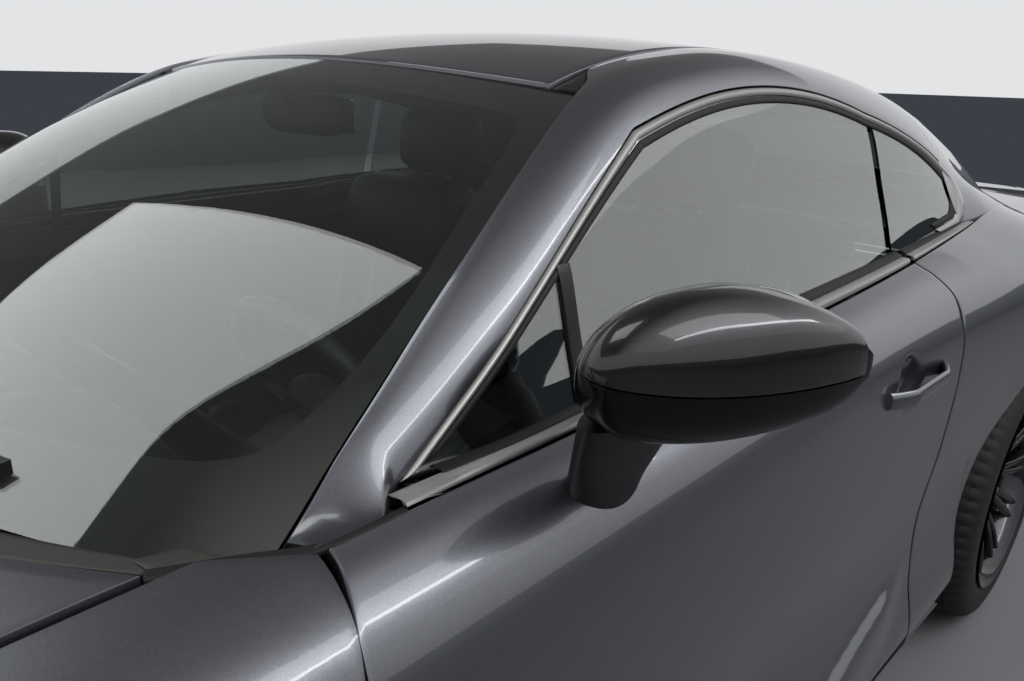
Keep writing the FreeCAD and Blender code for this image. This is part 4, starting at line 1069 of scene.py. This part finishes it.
# Door mirror: sections outboard along y, each with its rear and front x, then its low and high z
MIRROR_ROWS = (
    (846, 330, 388, 1026, 1072),
    (864, 300, 434, 1006, 1092),
    (900, 284, 459, 996, 1117),
    (940, 272, 444, 998, 1128),
    (980, 261, 402, 1006, 1121),
    (1010, 252, 348, 1018, 1107),
    (1030, 246, 290, 1034, 1088),
    (1037, 244, 256, 1050, 1074),
)
# Power of the housing's sections: 2 is an ellipse, and more is squarer
MIRROR_SQUARENESS = 2.5


def mirror_place(u, v, grow):
    """Point of the housing: u from inboard to outboard, v once round each section."""
    inboard, outboard = MIRROR_ROWS[0][0], MIRROR_ROWS[-1][0]
    y = inboard + (outboard - inboard) * u
    back, front, low, high = through(MIRROR_ROWS, y)
    a = v * math.tau
    c, s = math.cos(a), math.sin(a)
    power = 2 / (2 + (MIRROR_SQUARENESS - 2) * smooth_step(0.05, 0.5, u))
    x = (back + front) / 2 + ((front - back) / 2 + grow) * math.copysign(abs(c)**power, c)
    z = (low + high) / 2 + ((high - low) / 2 + grow) * math.copysign(abs(s)**power, s)
    return Vector((x, y, z))


def mirror_housing(grow):
    return tube(60, 96, lambda u, v: mirror_place(u, v, grow))


def cut(bm, at, up, keep_above):
    """The closed part of a form on one side of a plane through at, in metres."""
    bmesh.ops.bisect_plane(bm, geom=bm.verts[:] + bm.edges[:] + bm.faces[:], plane_co=at, plane_no=up,
                           clear_inner=keep_above, clear_outer=not keep_above)
    return capped(bm)


# Gap between cap and lower shell, and the cap's rear edge round the reflector, in metres
SPLIT_UP = Vector((0.02, 0.09, 1)).normalized()
SPLIT_AT = Vector((0.36, 0.9, 1.064))
SPLIT_HALF = SPLIT_UP * MM
CAP_REAR_AT = Vector((0.300, 0.9, 1.04))
CAP_REAR_WAY = Vector((1, 0.3, 0)).normalized()
RIM_OVERLAP = Vector((4 * MM, 0, 0))
mirror_cap = cut(mirror_housing(1.5), SPLIT_AT + SPLIT_HALF, SPLIT_UP, True)
mirror_cap = cut(mirror_cap, CAP_REAR_AT, CAP_REAR_WAY, True)
pair("mirror_cap", soften(mirror_cap, 2.5, 50, 3), DOORS, mirror_paint, "gloss_black", ["door_mirror"])
lower_shell = cut(mirror_housing(0.0), SPLIT_AT - SPLIT_HALF, SPLIT_UP, False)
pair("mirror_lower_shell", soften(lower_shell, 2.0, 50, 3), DOORS, gloss_black, "gloss_black")
mirror_rim = cut(mirror_housing(-3.0), CAP_REAR_AT + RIM_OVERLAP, CAP_REAR_WAY, False)
pair("mirror_rim", soften(mirror_rim, 2.0, 50, 3), DOORS, gloss_black, "gloss_black")


def mirror_glass(u, v, w):
    """Reflecting pane in the rear of the housing."""
    y = 866 + 152 * u
    back, front, low, high = through(MIRROR_ROWS, y)
    half = (high - low) / 2 - 12 - 18 * (2 * u - 1)**4
    return Vector((back + 4 - 5 * w, y, (low + high) / 2 + (2 * v - 1) * half))


pair("mirror_reflector", soften(block(24, 12, 1, mirror_glass), 1.0), DOORS, bright, "glass")


# Mirror arm: share of its height, rear and front x, inboard and outboard y, and z
ARM_ROWS = (
    (0.0, 312, 398, 812, 864, 876),
    (0.3, 306, 408, 820, 872, 915),
    (0.6, 298, 425, 836, 888, 952),
    (1.0, 290, 446, 856, 915, 1010),
)


def mirror_arm(u, v):
    """Arm from the door's shoulder up into the housing."""
    x0, x1, y0, y1, z = through(ARM_ROWS, u)
    a = v * math.tau
    x = (x0 + x1) / 2 + (x1 - x0) / 2 * math.cos(a)
    return Vector((x, (y0 + y1) / 2 + (y1 - y0) / 2 * math.sin(a), z))


pair("mirror_arm", tube(24, 48, mirror_arm), DOORS, satin_black, "black_trim")

# Door handle
STRAP_FRONT_X = -276
STRAP_LENGTH = 232
STRAP_Z = 835
STRAP_STEPS = 32
handle_path = []
for k in range(STRAP_STEPS + 1):
    u = k / STRAP_STEPS
    x = STRAP_FRONT_X - STRAP_LENGTH * u
    lift = 22 * min(math.sin(math.pi * u) * 1.6, 1)**0.8
    skin_y = side(SIDE_ROWS, x, side_t(SIDE_ROWS, x, STRAP_Z)).y
    handle_path.append((Vector((x, skin_y + 2 + lift, STRAP_Z)), LEFT, UP))
handle_ring = [(6 * math.cos(k * math.tau / 16), 14 * math.sin(k * math.tau / 16)) for k in range(16)]
pair("door_handle_strap", swept(handle_path, handle_ring), DOORS, paint, "paint", ["door_handle"])

# Wheels, about an axle at the origin with the outboard side towards +Y. A section is a list of
# radius and y; a turned profile is a list of y and radius.
AXLE = Vector((0, 0, 0))
TYRE_OUTER = (
    (241.5, 115), (250, 121), (262, 126), (280, 127.4), (300, 126.4), (318, 121), (330, 112), (337, 101),
    (340, 92), (341, 84), (334.5, 82), (334.5, 75), (341.4, 73), (342.4, 32), (335, 30), (335, 22),
    (342.7, 20), (TYRE_R, 0),
)
TYRE_INSIDE = ((241.5, -104), (256, -100), (300, -100), (330, 0), (300, 100), (256, 100), (241.5, 104))
TYRE_SECTION = TYRE_OUTER + tuple((r, -y) for r, y in reversed(TYRE_OUTER[:-1])) + TYRE_INSIDE
TYRE_STEPS = 288
SHOULDER_CUT, TREAD_CUT = 5, 3
RIM_PROFILE = (
    (130, 250), (126, 246), (121, 244), (112, 238), (104, 232), (60, 226), (-62, 224), (-100, 236),
    (-121, 246), (-130, 250), (-130, 240), (-118, 234), (-64, 214), (64, 214), (100, 224), (124, 238),
    (130, 250),
)
HUB_PROFILE = ((30, 0), (30, 74), (62, 74), (70, 68), (70, 34), (78, 32), (80, 0))
NUT_PROFILE = ((66, 0), (66, 11), (82, 10), (85, 6), (85, 0))
DISC_PROFILE = (
    (-14, 80), (-14, 176), (-3, 176), (-3, 120), (3, 120), (3, 176), (14, 176), (14, 80), (40, 76),
    (44, 70), (44, 24), (-14, 24), (-14, 80),
)
SPOKE_PAIRS = 10
SPOKE_FOOT_R, SPOKE_LENGTH = 52, 182
NUTS = 5
NUT_CIRCLE_R = 52


def tyre_place(u, v):
    """Tyre about the axle: u round the wheel, v round its section, outboard first."""
    r, y = TYRE_SECTION[round(v * len(TYRE_SECTION)) % len(TYRE_SECTION)]
    a = u * math.tau
    step = round(u * TYRE_STEPS)
    if abs(y) > 84 and 330 <= r < 341 and step % 4 == 0:
        r -= SHOULDER_CUT
    if 31 < abs(y) < 73 and r > 341 and step % 6 == (0 if y > 0 else 3):
        r -= TREAD_CUT
    return Vector((r * math.cos(a), y, r * math.sin(a)))


def wheel_spoke(turn, lean):
    """One of a pair of spokes that spread towards the rim."""
    def place(u, v, w):
        across = 2 * v - 1
        half = 10.5 - 4 * u
        y = 58 + 50 * math.sin(u * math.pi / 2) - (34 - 16 * u) * w
        off = lean * (5 + 15 * u)
        z = off + half * across * (1 - 0.3 * w)
        return Vector((SPOKE_FOOT_R + SPOKE_LENGTH * u, y - 3 * across**2, z))

    spoke = soften(block(8, 2, 1, place), 2.0, 50)
    bmesh.ops.rotate(spoke, verts=spoke.verts, matrix=Matrix.Rotation(turn, 3, "Y"))
    return spoke


def wheel_nut(turn):
    at = Vector((NUT_CIRCLE_R * math.cos(turn), 0, NUT_CIRCLE_R * math.sin(turn)))
    return turned(NUT_PROFILE, at, LEFT, 6)


def moved(bm, offset):
    copy = bm.copy()
    bmesh.ops.translate(copy, verts=copy.verts, vec=offset * MM)
    return copy


spokes = [wheel_spoke(k * math.tau / SPOKE_PAIRS, lean) for k in range(SPOKE_PAIRS) for lean in (-1, 1)]
nuts = [wheel_nut(k * math.tau / NUTS) for k in range(NUTS)]
# Name, form, finish, slot and the kind of node that it stands for
WHEEL_PIECES = (
    ("rim_", merged(soften(turned(RIM_PROFILE, AXLE, LEFT, 96), 0.8, 60), *spokes), rim_paint, "rim_metal",
     ["wheel_"]),
    ("tyre_tread_", tube(TYRE_STEPS, len(TYRE_SECTION), tyre_place), tyre_rubber, "tyre", ["tyre_"]),
    ("brake_disc_", turned(DISC_PROFILE, AXLE, LEFT, 96), steel, "steel", []),
    ("hub_cap_", turned(HUB_PROFILE, AXLE, LEFT, 64), gloss_black, "gloss_black", []),
    ("wheel_nuts_", merged(*nuts), steel, "steel", []),
)
for end, x, hub_y in (("front", FRONT_AXLE_X, FRONT_HUB_Y), ("rear", REAR_AXLE_X, REAR_HUB_Y)):
    for name, form, material, slot, nodes in WHEEL_PIECES:
        bodies = ("wheel_" + end + "_left", "wheel_" + end + "_right")
        pair(name + end, moved(form, Vector((x, hub_y, TYRE_R))), bodies, material, slot,
             [n + end for n in nodes], angle=38)

# Cabin
WHEEL_HUB = Vector((352, 372, 838))
STEER_TILT = math.radians(26)
COLUMN_WAY = Vector((math.cos(STEER_TILT), 0, -math.sin(STEER_TILT)))
WHEEL_UP = Vector((math.sin(STEER_TILT), 0, math.cos(STEER_TILT)))
STEERING_R = 178
GRIP_R, THUMB_SWELL = 14.5, 1.5
# Steering wheel's spokes: angle from the left, and half width
STEERING_SPOKES = ((0, 17), (math.pi, 17), (-math.pi / 2, 20))
# Profiles along the column: distance from the wheel's plane, and radius
PAD_PROFILE = ((-22, 0), (-22, 34), (-16, 54), (-4, 64), (14, 66), (34, 54), (34, 0))
SHAFT_PROFILE = ((30, 0), (30, 11), (284, 11), (284, 0))
SHROUD_PROFILE = ((46, 0), (46, 36), (60, 42), (230, 46), (230, 0))


def steering_rim(u, v):
    """Rim with a flat foot and thicker grips at the sides."""
    a, b = u * math.tau, v * math.tau
    way = LEFT * math.cos(a) + WHEEL_UP * math.sin(a)
    flat = 1 - 0.06 * smooth_step(-0.75, -0.95, math.sin(a))
    grip = GRIP_R + THUMB_SWELL * smooth_step(0.75, 0.95, abs(math.cos(a)))
    return WHEEL_HUB + way * (STEERING_R * flat + grip * math.cos(b)) + COLUMN_WAY * grip * math.sin(b)


rim_ring = tube(96, 20, steering_rim)
piece("steering_rim", rim_ring, "steering_wheel", wheel_leather, "wheel_leather", ["steering_wheel"])


def steering_spoke(angle, half):
    """Spoke that runs from the sunk hub out to the rim."""
    way = LEFT * math.cos(angle) + WHEEL_UP * math.sin(angle)
    across = way.cross(COLUMN_WAY)

    def place(u, v, w):
        sink = 20 * math.cos(u * math.pi / 2) - 4
        aside = across * half * (2 * v - 1) * (1 - 0.25 * u)
        return WHEEL_HUB + way * (46 + 126 * u) + aside + COLUMN_WAY * (sink + 12 * w)

    return soften(block(8, 2, 1, place), 3, 50, 3)


wheel_spokes = merged(*(steering_spoke(angle, half) for angle, half in STEERING_SPOKES))
piece("steering_spokes", wheel_spokes, "steering_wheel", satin_black, "black_trim")
airbag = turned(PAD_PROFILE, WHEEL_HUB, COLUMN_WAY, 48)
piece("steering_pad", airbag, "steering_wheel", cabin_plastic, "cabin_trim")
shaft = turned(SHAFT_PROFILE, WHEEL_HUB, COLUMN_WAY, 24)
piece("steering_shaft", shaft, "steering_wheel", chassis, "steel")
column_shroud = turned(SHROUD_PROFILE, WHEEL_HUB, COLUMN_WAY, 32)
piece("column_shroud", column_shroud, "shell", cabin_plastic, "cabin_trim")

# Dashboard's outline, x and z, and its half width
DASH_HALF = 684
DASH_LINE = (
    (586, 575), (566, 640), (560, 700), (566, 770), (582, 830), (610, 872), (650, 892), (720, 900),
    (800, 898), (870, 892), (930, 880), (1020, 872), (1024, 740), (1010, 610), (880, 548), (700, 550),
)
dash_knots = line_knots(DASH_LINE + DASH_LINE[:1])


def dash_place(u, v):
    """Dashboard with a hood over the instruments and a raised middle."""
    y = DASH_HALF * (2 * u - 1)
    x, z = through(dash_knots, v)
    hood = 34 * math.exp(-((y - WHEEL_HUB.y) / 150)**4) * (z > 780)
    hood *= smooth_step(560, 640, x) * smooth_step(800, 700, x)
    middle = 16 * math.exp(-(y / 190)**4) * (x < 640) * (z < 830)
    sag = 12 * (abs(y) / DASH_HALF)**3
    return Vector((x - middle - 10 * math.cos(math.pi * y / (2 * DASH_HALF)), y, z + hood - sag))


piece("dashboard_skin", tube(72, 64, dash_place), "shell", cabin_plastic, "cabin_trim", ["dashboard"])
for k, y in enumerate((-600, -90, 90, 600)):
    slats = [solid_box(552, 562, y - 42, y + 42, z, z + 3) for z in range(772, 812, 8)]
    vent = merged(solid_box(563, 570, y - 48, y + 48, 764, 818), *slats)
    piece("air_vent_%d" % (k + 1), vent, "shell", gloss_black, "gloss_black")
screen = soften(solid_box(545, 552, -40, 560, 822, 902), 3)
piece("instrument_screen", screen, "shell", gloss_black, "gloss_black")


def cushion(x0, x1, y0, y1, z0, z1, crown=(0, 0, 0), round_to=5.0, cells=(16, 20, 8), lean=0.0):
    """Padded block: rounded like a pillow, with its faces crowned and leaning back by lean per mm."""
    def place(u, v, w):
        p = [2 * c - 1 for c in (u, v, w)]
        length = (abs(p[0])**round_to + abs(p[1])**round_to + abs(p[2])**round_to)**(1 / round_to)
        q = [c / max(length, 1e-6) * max(map(abs, p)) for c in p]
        x = (x0 + x1) / 2 + (x1 - x0) / 2 * q[0]
        y = (y0 + y1) / 2 + (y1 - y0) / 2 * q[1]
        z = (z0 + z1) / 2 + (z1 - z0) / 2 * q[2]
        swell = 1 - q[1]**2
        x += crown[0] * (1 - q[2]**2) * swell * q[0]
        z += crown[2] * (1 - q[0]**2) * swell * q[2]
        return Vector((x - lean * (z - z0), y, z))

    return block(*cells, place)


SEAT_Y = 372
BACK_LEAN = 0.27
# Front seat's pads: x from and to, y from and to beside the seat's middle, z from and to, crown,
# lean and fill
SEAT_PADS = (
    ("seat_cushion", -300, 130, -170, 170, 330, 462, (0, 0, 14), 0, 0.7),
    ("seat_bolster_in", -310, 120, -252, -160, 330, 492, (0, 0, 10), 0, 0.8),
    ("seat_bolster_out", -310, 120, 160, 252, 330, 492, (0, 0, 10), 0, 0.8),
    ("seat_back", -408, -296, -165, 165, 450, 1010, (12, 0, 0), BACK_LEAN, 0.7),
    ("back_bolster_in", -414, -262, -250, -155, 440, 940, (10, 0, 0), BACK_LEAN, 0.8),
    ("back_bolster_out", -414, -262, 155, 250, 440, 940, (10, 0, 0), BACK_LEAN, 0.8),
    ("seat_shoulder", -440, -300, -195, 195, 850, 1035, (8, 0, 0), 0.24, 0.8),
    ("head_restraint", -548, -452, -132, 132, 1040, 1196, (10, 0, 6), 0.05, 0.8),
)
HEAD_ROUND = 4.0
SHELL_FOOT_Z, SHELL_RISE = 460, 520
POST_PROFILE = ((0, 0), (0, 6), (110, 6), (110, 0))


def seat_shell(y):
    """Hard back of a front seat."""
    def place(u, v, w):
        rise = SHELL_RISE * w
        return Vector((-418 - 22 * u - BACK_LEAN * rise, y - 215 + 430 * v, SHELL_FOOT_Z + rise))

    return soften(block(4, 8, 8, place), 6)


for label, y in (("left", SEAT_Y), ("right", -SEAT_Y)):
    for name, x0, x1, y0, y1, z0, z1, crown, lean, fill in SEAT_PADS:
        round_to = HEAD_ROUND if name == "head_restraint" else 5.0
        form = cushion(x0, x1, y + y0, y + y1, z0, z1, crown, round_to, lean=lean)
        nodes = ["front_seats"] if name == "seat_cushion" and label == "left" else []
        pad = piece(name + "_" + label, form, "shell", seat_leather, "seat_leather", nodes, angle=80)
    posts = [turned(POST_PROFILE, Vector((-492, y + off, 985)), UP, 16) for off in (-45, 45)]
    piece("head_posts_" + label, merged(*posts), "shell", steel, "steel")
    rails = [soften(solid_box(-380, 60, y + off - 16, y + off + 16, 192, 332), 4) for off in (-185, 185)]
    piece("seat_frame_" + label, merged(*rails, seat_shell(y)), "shell", cabin_plastic, "cabin_trim")

for label, y0, y1 in (("left", 8, 500), ("right", -500, -8)):
    form = cushion(-1000, -615, y0, y1, 414, 548, (0, 0, 22))
    nodes = ["rear_seat"] if label == "left" else []
    bench = piece("rear_cushion_" + label, form, "shell", seat_leather, "seat_leather", nodes, angle=80)
    form = cushion(-1090, -985, y0, y1, 500, 955, (16, 0, 0), lean=0.2)
    back = piece("rear_back_" + label, form, "shell", seat_leather, "seat_leather", angle=80)


def lining(u, v, w):
    """Roof lining, a little under the roof panel."""
    x, y = between_plans(WINDSHIELD_HEAD, REAR_GLASS_HEAD, 2 * u - 1, v, -70)
    edge = row_at(TOP_ROWS, x)[4]
    drop = 24 + 60 * smooth_step(edge * 0.9, edge + 70, abs(y))
    return top(x, y, drop + 6 * w)


piece("roof_lining", block(40, 40, 1, lining), "shell", headliner, "cabin_trim")


def pillar_trim(u, v, w):
    """Inner trim of pillar and roof rail."""
    x_out, t_out = along(outer_knots, u)
    x_in = along(inner_knots, u)[0]
    share = 0.04 + 0.9 * v
    return cheek(x_in + (x_out - x_in) * share, DITCH_T + (t_out - DITCH_T) * share, 20 + 10 * w)


piece("pillar_trims", both(block(120, 8, 1, pillar_trim)), "shell", headliner, "cabin_trim")
mirror_body = cushion(112, 150, -122, 122, 1178, 1246, (0, 0, 0), 4.0, (6, 24, 8))
STEM_PROFILE = ((0, 0), (0, 9), (62, 12), (70, 22), (72, 0))
mirror_stem = turned(STEM_PROFILE, Vector((150, 0, 1222)), Vector((0.6, 0, 0.8)), 20)
piece("cabin_mirror_body", mirror_body, "shell", satin_black, "black_trim", ["cabin_mirror"])
piece("cabin_mirror_stem", mirror_stem, "shell", satin_black, "black_trim")
piece("cabin_mirror_glass", soften(solid_box(108, 111, -114, 114, 1184, 1240), 1), "shell", bright, "glass")


# Construction nodes that show
NODE_FINISHES = (
    ("body_tub", underbody), ("side_sills", paint), ("rear_deck", cabin_plastic), ("console", cabin_plastic),
    ("engine", cast), ("exhaust", steel), ("front_suspension", chassis), ("rear_suspension", chassis),
    ("knuckle_left", cast), ("knuckle_right", cast), ("wipers", satin_black), ("grille", gloss_black),
)
for node, material in NODE_FINISHES:
    node_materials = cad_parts[node].data.materials
    node_materials.clear()
    node_materials.append(material)

# Panels copied from their nodes, with their large faces ruling the shading
for node, body, material, slot in (
        ("front_bumper", "shell", paint, "paint"), ("rear_bumper", "shell", paint, "paint"),
        ("tail_panel", "shell", gloss_black, "gloss_black"), ("trunk_lid", "trunk_lid", paint, "paint")):
    panel = piece(node + "_skin", from_node(node), body, material, slot, [node], angle=30)
    weighted = panel.modifiers.new("weighted", "WEIGHTED_NORMAL")
    weighted.keep_sharp = True
    weighted.weight = 80


# Lamps and grille
LENS_WALL, BUCKET_WALL = 3, 2


def looks_out(face, outward):
    """Whether a lamp's face looks towards the end of the car, 1 front or -1 rear, or out to the side."""
    way = Vector((outward, 0.45 * math.copysign(1, face.calc_center_median().y), 0))
    return face.normal.dot(way) > 0.35


def lamp_part(node, outward, outer, wall):
    """Lens of a lamp, outer, or the bucket behind it, as a wall on those faces of its node."""
    bm = from_node(node)
    bm.normal_update()
    gone = [f for f in bm.faces if looks_out(f, outward) != outer]
    bmesh.ops.delete(bm, geom=gone, context="FACES")
    bmesh.ops.solidify(bm, geom=bm.faces[:], thickness=wall * MM)
    bmesh.ops.recalc_face_normals(bm, faces=bm.faces)
    return bm


for name, node, outward, material, slot in (
        ("headlamp", "headlamps", 1, lamp_lens, "lamp_glass"),
        ("tail_lamp", "tail_lamps", -1, red_lens, "lamp_red")):
    piece(name + "_lenses", lamp_part(node, outward, True, LENS_WALL), "shell", material, slot, [node])
    piece(name + "_buckets", lamp_part(node, outward, False, BUCKET_WALL), "shell", satin_black, "black_trim")

# Headlamp projectors: x and y of the bowl's rim, and its radius
PROJECTORS = ((2252, 612, 33), (2196, 700, 33), (2128, 768, 28))
PROJECTOR_Z = 692
BEAM_WAY = Vector((0.95, 0.3, 0)).normalized()
rings, bulbs = [], []
for x, y, r in PROJECTORS:
    at = Vector((x, y, PROJECTOR_Z))
    bowl = [(-40, r * 0.45), (-12, r * 0.86), (0, r), (4, r), (4, r + 4), (-14, r + 4), (-44, r * 0.5),
            (-40, r * 0.45)]
    bulb = [(-36, 0), (-36, r * 0.62), (-24, r * 0.6), (-14, r * 0.42), (-9, 0)]
    rings.append(turned(bowl, at, BEAM_WAY, 48))
    bulbs.append(turned(bulb, at, BEAM_WAY, 40))
piece("headlamp_rings", both(merged(*rings)), "shell", bright, "gloss_black")
piece("headlamp_projectors", both(merged(*bulbs)), "shell", lamp_lens, "lamp_glass")


def lamp_strip(u, v, w):
    """Bright daytime strip along the lamp's lower edge."""
    x, y = through(((0, 2272, 572), (0.5, 2214, 690), (1, 2096, 806)), u)
    return Vector((x - 10 * w, y - 6 * w, 652 + 7 * v))


piece("headlamp_strips", both(soften(block(24, 1, 1, lamp_strip), 1)), "shell", bright, "gloss_black")

# Upper and lower grille: low and high z, half width, then x at the ends and the middle
GRILLES = ((426, 634, 500, 2300, 2356), (221, 344, 474, 2256, 2310))
BLADE_GAPS = 44
blades = []
for low, high, half, end_x, middle_x in GRILLES:
    for k in range(BLADE_GAPS + 1):
        y = -half + 2 * half * k / BLADE_GAPS
        x = middle_x - (middle_x - end_x) * (y / half)**2
        blades.append(solid_box(x - 26, x - 8, y - 1.6, y + 1.6, low, high))
piece("grille_blades", merged(*blades), "shell", gloss_black, "gloss_black")


def tail_bar(y):
    """Upright light guide behind the red lens, leaning outboard."""
    def place(u, v, w):
        return Vector((-2352 + 12 * u + 0.16 * (y - 330), y + 26 * v + 22 * w, 762 + 108 * w))

    return soften(block(1, 2, 8, place), 4, segments=3)


bars = merged(*(tail_bar(y) for y in (400, 480, 560)))
piece("tail_lamp_bars", both(bars), "shell", red_lens, "lamp_red")

# Wheel arch liners
LINER_R = 402
LINER_WALL = 4
LINER_FROM_Y = 480
LINER_INSIDE = 22
# Its start and sweep in degrees about the axle, from level to the front
LINER_START, LINER_SWEEP = -14, 208
BODY_FOOT_Z = 260


def arch_liner(axle_x):
    """Half shell over a wheel, from inboard of the tyre to just behind the body side."""
    def place(u, v, w):
        turn = math.radians(LINER_START + LINER_SWEEP * u)
        r = LINER_R + LINER_WALL * w
        x, z = axle_x + r * math.cos(turn), TYRE_R + r * math.sin(turn)
        outer_y = side(SIDE_ROWS, x, side_t(SIDE_ROWS, x, max(z, BODY_FOOT_Z))).y - LINER_INSIDE
        return Vector((x, LINER_FROM_Y + (outer_y - LINER_FROM_Y) * v, z))

    return block(56, 6, 1, place)


for end, x in (("front", FRONT_AXLE_X), ("rear", REAR_AXLE_X)):
    pair("arch_liner_" + end, arch_liner(x), SHELL, underbody, "black_trim")

# Aerial bump on the roof
fin = cushion(-842, -716, -24, 24, 1322, 1372, (0, 0, 0), 2.4, (16, 10, 8))
piece("roof_aerial", fin, "shell", satin_black, "black_trim")

# Stage, lights, camera
ROOM = 10000
BAND_Z = 1150
WALL_TOP_Z = 5200
PHOTO_WIDTH_PX, FOCAL_PX = 1024, 813.6
SENSOR_WIDTH = 36
CAMERA_AT = (0.934, 1.262, 1.290)
# Camera's yaw, pitch and roll in degrees
CAMERA_TURN = (-136.69, -18.29, 1.53)


def staged(name, bm, material):
    """Object of the stage, linked to the scene without a body."""
    mesh = bpy.data.meshes.new(name)
    bm.to_mesh(mesh)
    bm.free()
    mesh.materials.append(material)
    o = bpy.data.objects.new(name, mesh)
    bpy.context.scene.collection.objects.link(o)


# Floor paint: dull grey that keeps the car's shadow soft
floor_m = finish_of("pale_studio_floor", Base_Color=colour("#737477"), Roughness=0.55)[0]


def backdrop(name, code):
    """Painted wall: scatters light as paint does, and shows its written colour to eye, gloss and glass."""
    m, tree, shader = finish_of(name, Base_Color=colour(code), Roughness=0.8)
    rays = add(tree, "ShaderNodeLightPath")
    seen = add(tree, "ShaderNodeMath", {0: rays.outputs["Is Camera Ray"], 1: rays.outputs["Is Glossy Ray"]},
               operation="MAXIMUM")
    seen = add(tree, "ShaderNodeMath", {0: seen.outputs[0], 1: rays.outputs["Is Transmission Ray"]},
               operation="MAXIMUM")
    shown = add(tree, "ShaderNodeEmission", {"Color": colour(code), "Strength": 1.0})
    mixed = add(tree, "ShaderNodeMixShader", {0: seen.outputs[0], 1: shader.outputs[0], 2: shown.outputs[0]})
    tree.links.new(mixed.outputs[0], tree.nodes["Material Output"].inputs["Surface"])
    return m


# Wall paint: pale above, and dark below for the reflections in the body side
wall_m = backdrop("pale_studio_wall", "#e3e4e6")
band_m = backdrop("grey_wall_band", "#3b3f46")
floor = bmesh.new()
bmesh.ops.create_grid(floor, x_segments=1, y_segments=1, size=ROOM * MM)
staged("studio_floor", floor, floor_m)
for k in range(4):
    turn = Matrix.Rotation(k * math.pi / 2, 3, "Z")
    for name, low, high, material in (("band", 0, BAND_Z, band_m), ("wall", BAND_Z, WALL_TOP_Z, wall_m)):
        wall = sheet(1, 1, lambda u, v: Vector(((2 * u - 1) * ROOM, ROOM, low + (high - low) * v)))
        bmesh.ops.rotate(wall, verts=wall.verts, matrix=turn)
        staged("studio_%s_%d" % (name, k + 1), wall, material)

world = bpy.data.worlds.new("studio")
bpy.context.scene.world = world
world.use_nodes = True
sky = world.node_tree
background = sky.nodes["Background"]
sky_place = add(sky, "ShaderNodeTexCoord").outputs["Generated"]
towards = add(sky, "ShaderNodeSeparateXYZ", {"Vector": sky_place})
# The ceiling is lit over the driver's side and dim over the other one; the camera sees it plain
lit = add(sky, "ShaderNodeMapRange", {"Value": towards.outputs["Y"], "From Min": -0.2, "From Max": 0.35,
                                      "To Min": 0.14, "To Max": 1.15})
seen = add(sky, "ShaderNodeMix", {0: add(sky, "ShaderNodeLightPath").outputs["Is Camera Ray"],
                                  2: lit.outputs["Result"], 3: 0.9})
sky.links.new(seen.outputs[0], background.inputs["Strength"])
background.inputs["Color"].default_value = colour("#f6f6f8")


def area_light(name, at, towards, width, height, power):
    """Flat lamp at a place in metres, facing another."""
    data = bpy.data.lights.new(name, "AREA")
    data.shape = "RECTANGLE"
    data.size, data.size_y, data.energy = width, height, power
    o = bpy.data.objects.new(name, data)
    o.location = at
    o.rotation_euler = (Vector(towards) - Vector(at)).to_track_quat("-Z", "Y").to_euler()
    bpy.context.scene.collection.objects.link(o)


area_light("ceiling_panel", (1.95, -2.6, 5.0), (1.95, -2.6, 0.0), 2.5, 3.7, 66)
area_light("near_panel", (0.2, 3.6, 5.0), (0.2, 1.2, 0.0), 6.0, 2.0, 70)
area_light("side_strip", (-0.4, 3.4, 3.6), (0.1, 0.6, 0.8), 6.0, 0.25, 36)

camera = bpy.data.cameras.new("photo_camera")
camera.sensor_fit = "HORIZONTAL"
camera.sensor_width = SENSOR_WIDTH
camera.lens = FOCAL_PX / PHOTO_WIDTH_PX * SENSOR_WIDTH
holder = bpy.data.objects.new("photo_camera", camera)
bpy.context.scene.collection.objects.link(holder)
yaw, pitch, roll = (math.radians(a) for a in CAMERA_TURN)
ahead = Vector((math.cos(yaw) * math.cos(pitch), math.sin(yaw) * math.cos(pitch), math.sin(pitch)))
level = ahead.cross(UP).normalized()
above = level.cross(ahead)
right = level * math.cos(roll) + above * math.sin(roll)
up = above * math.cos(roll) - level * math.sin(roll)
turn = Matrix((right, up, -ahead)).transposed().to_4x4()
holder.matrix_world = Matrix.Translation(CAMERA_AT) @ turn
bpy.context.scene.camera = holder
bpy.context.scene.view_settings.view_transform = "Standard"
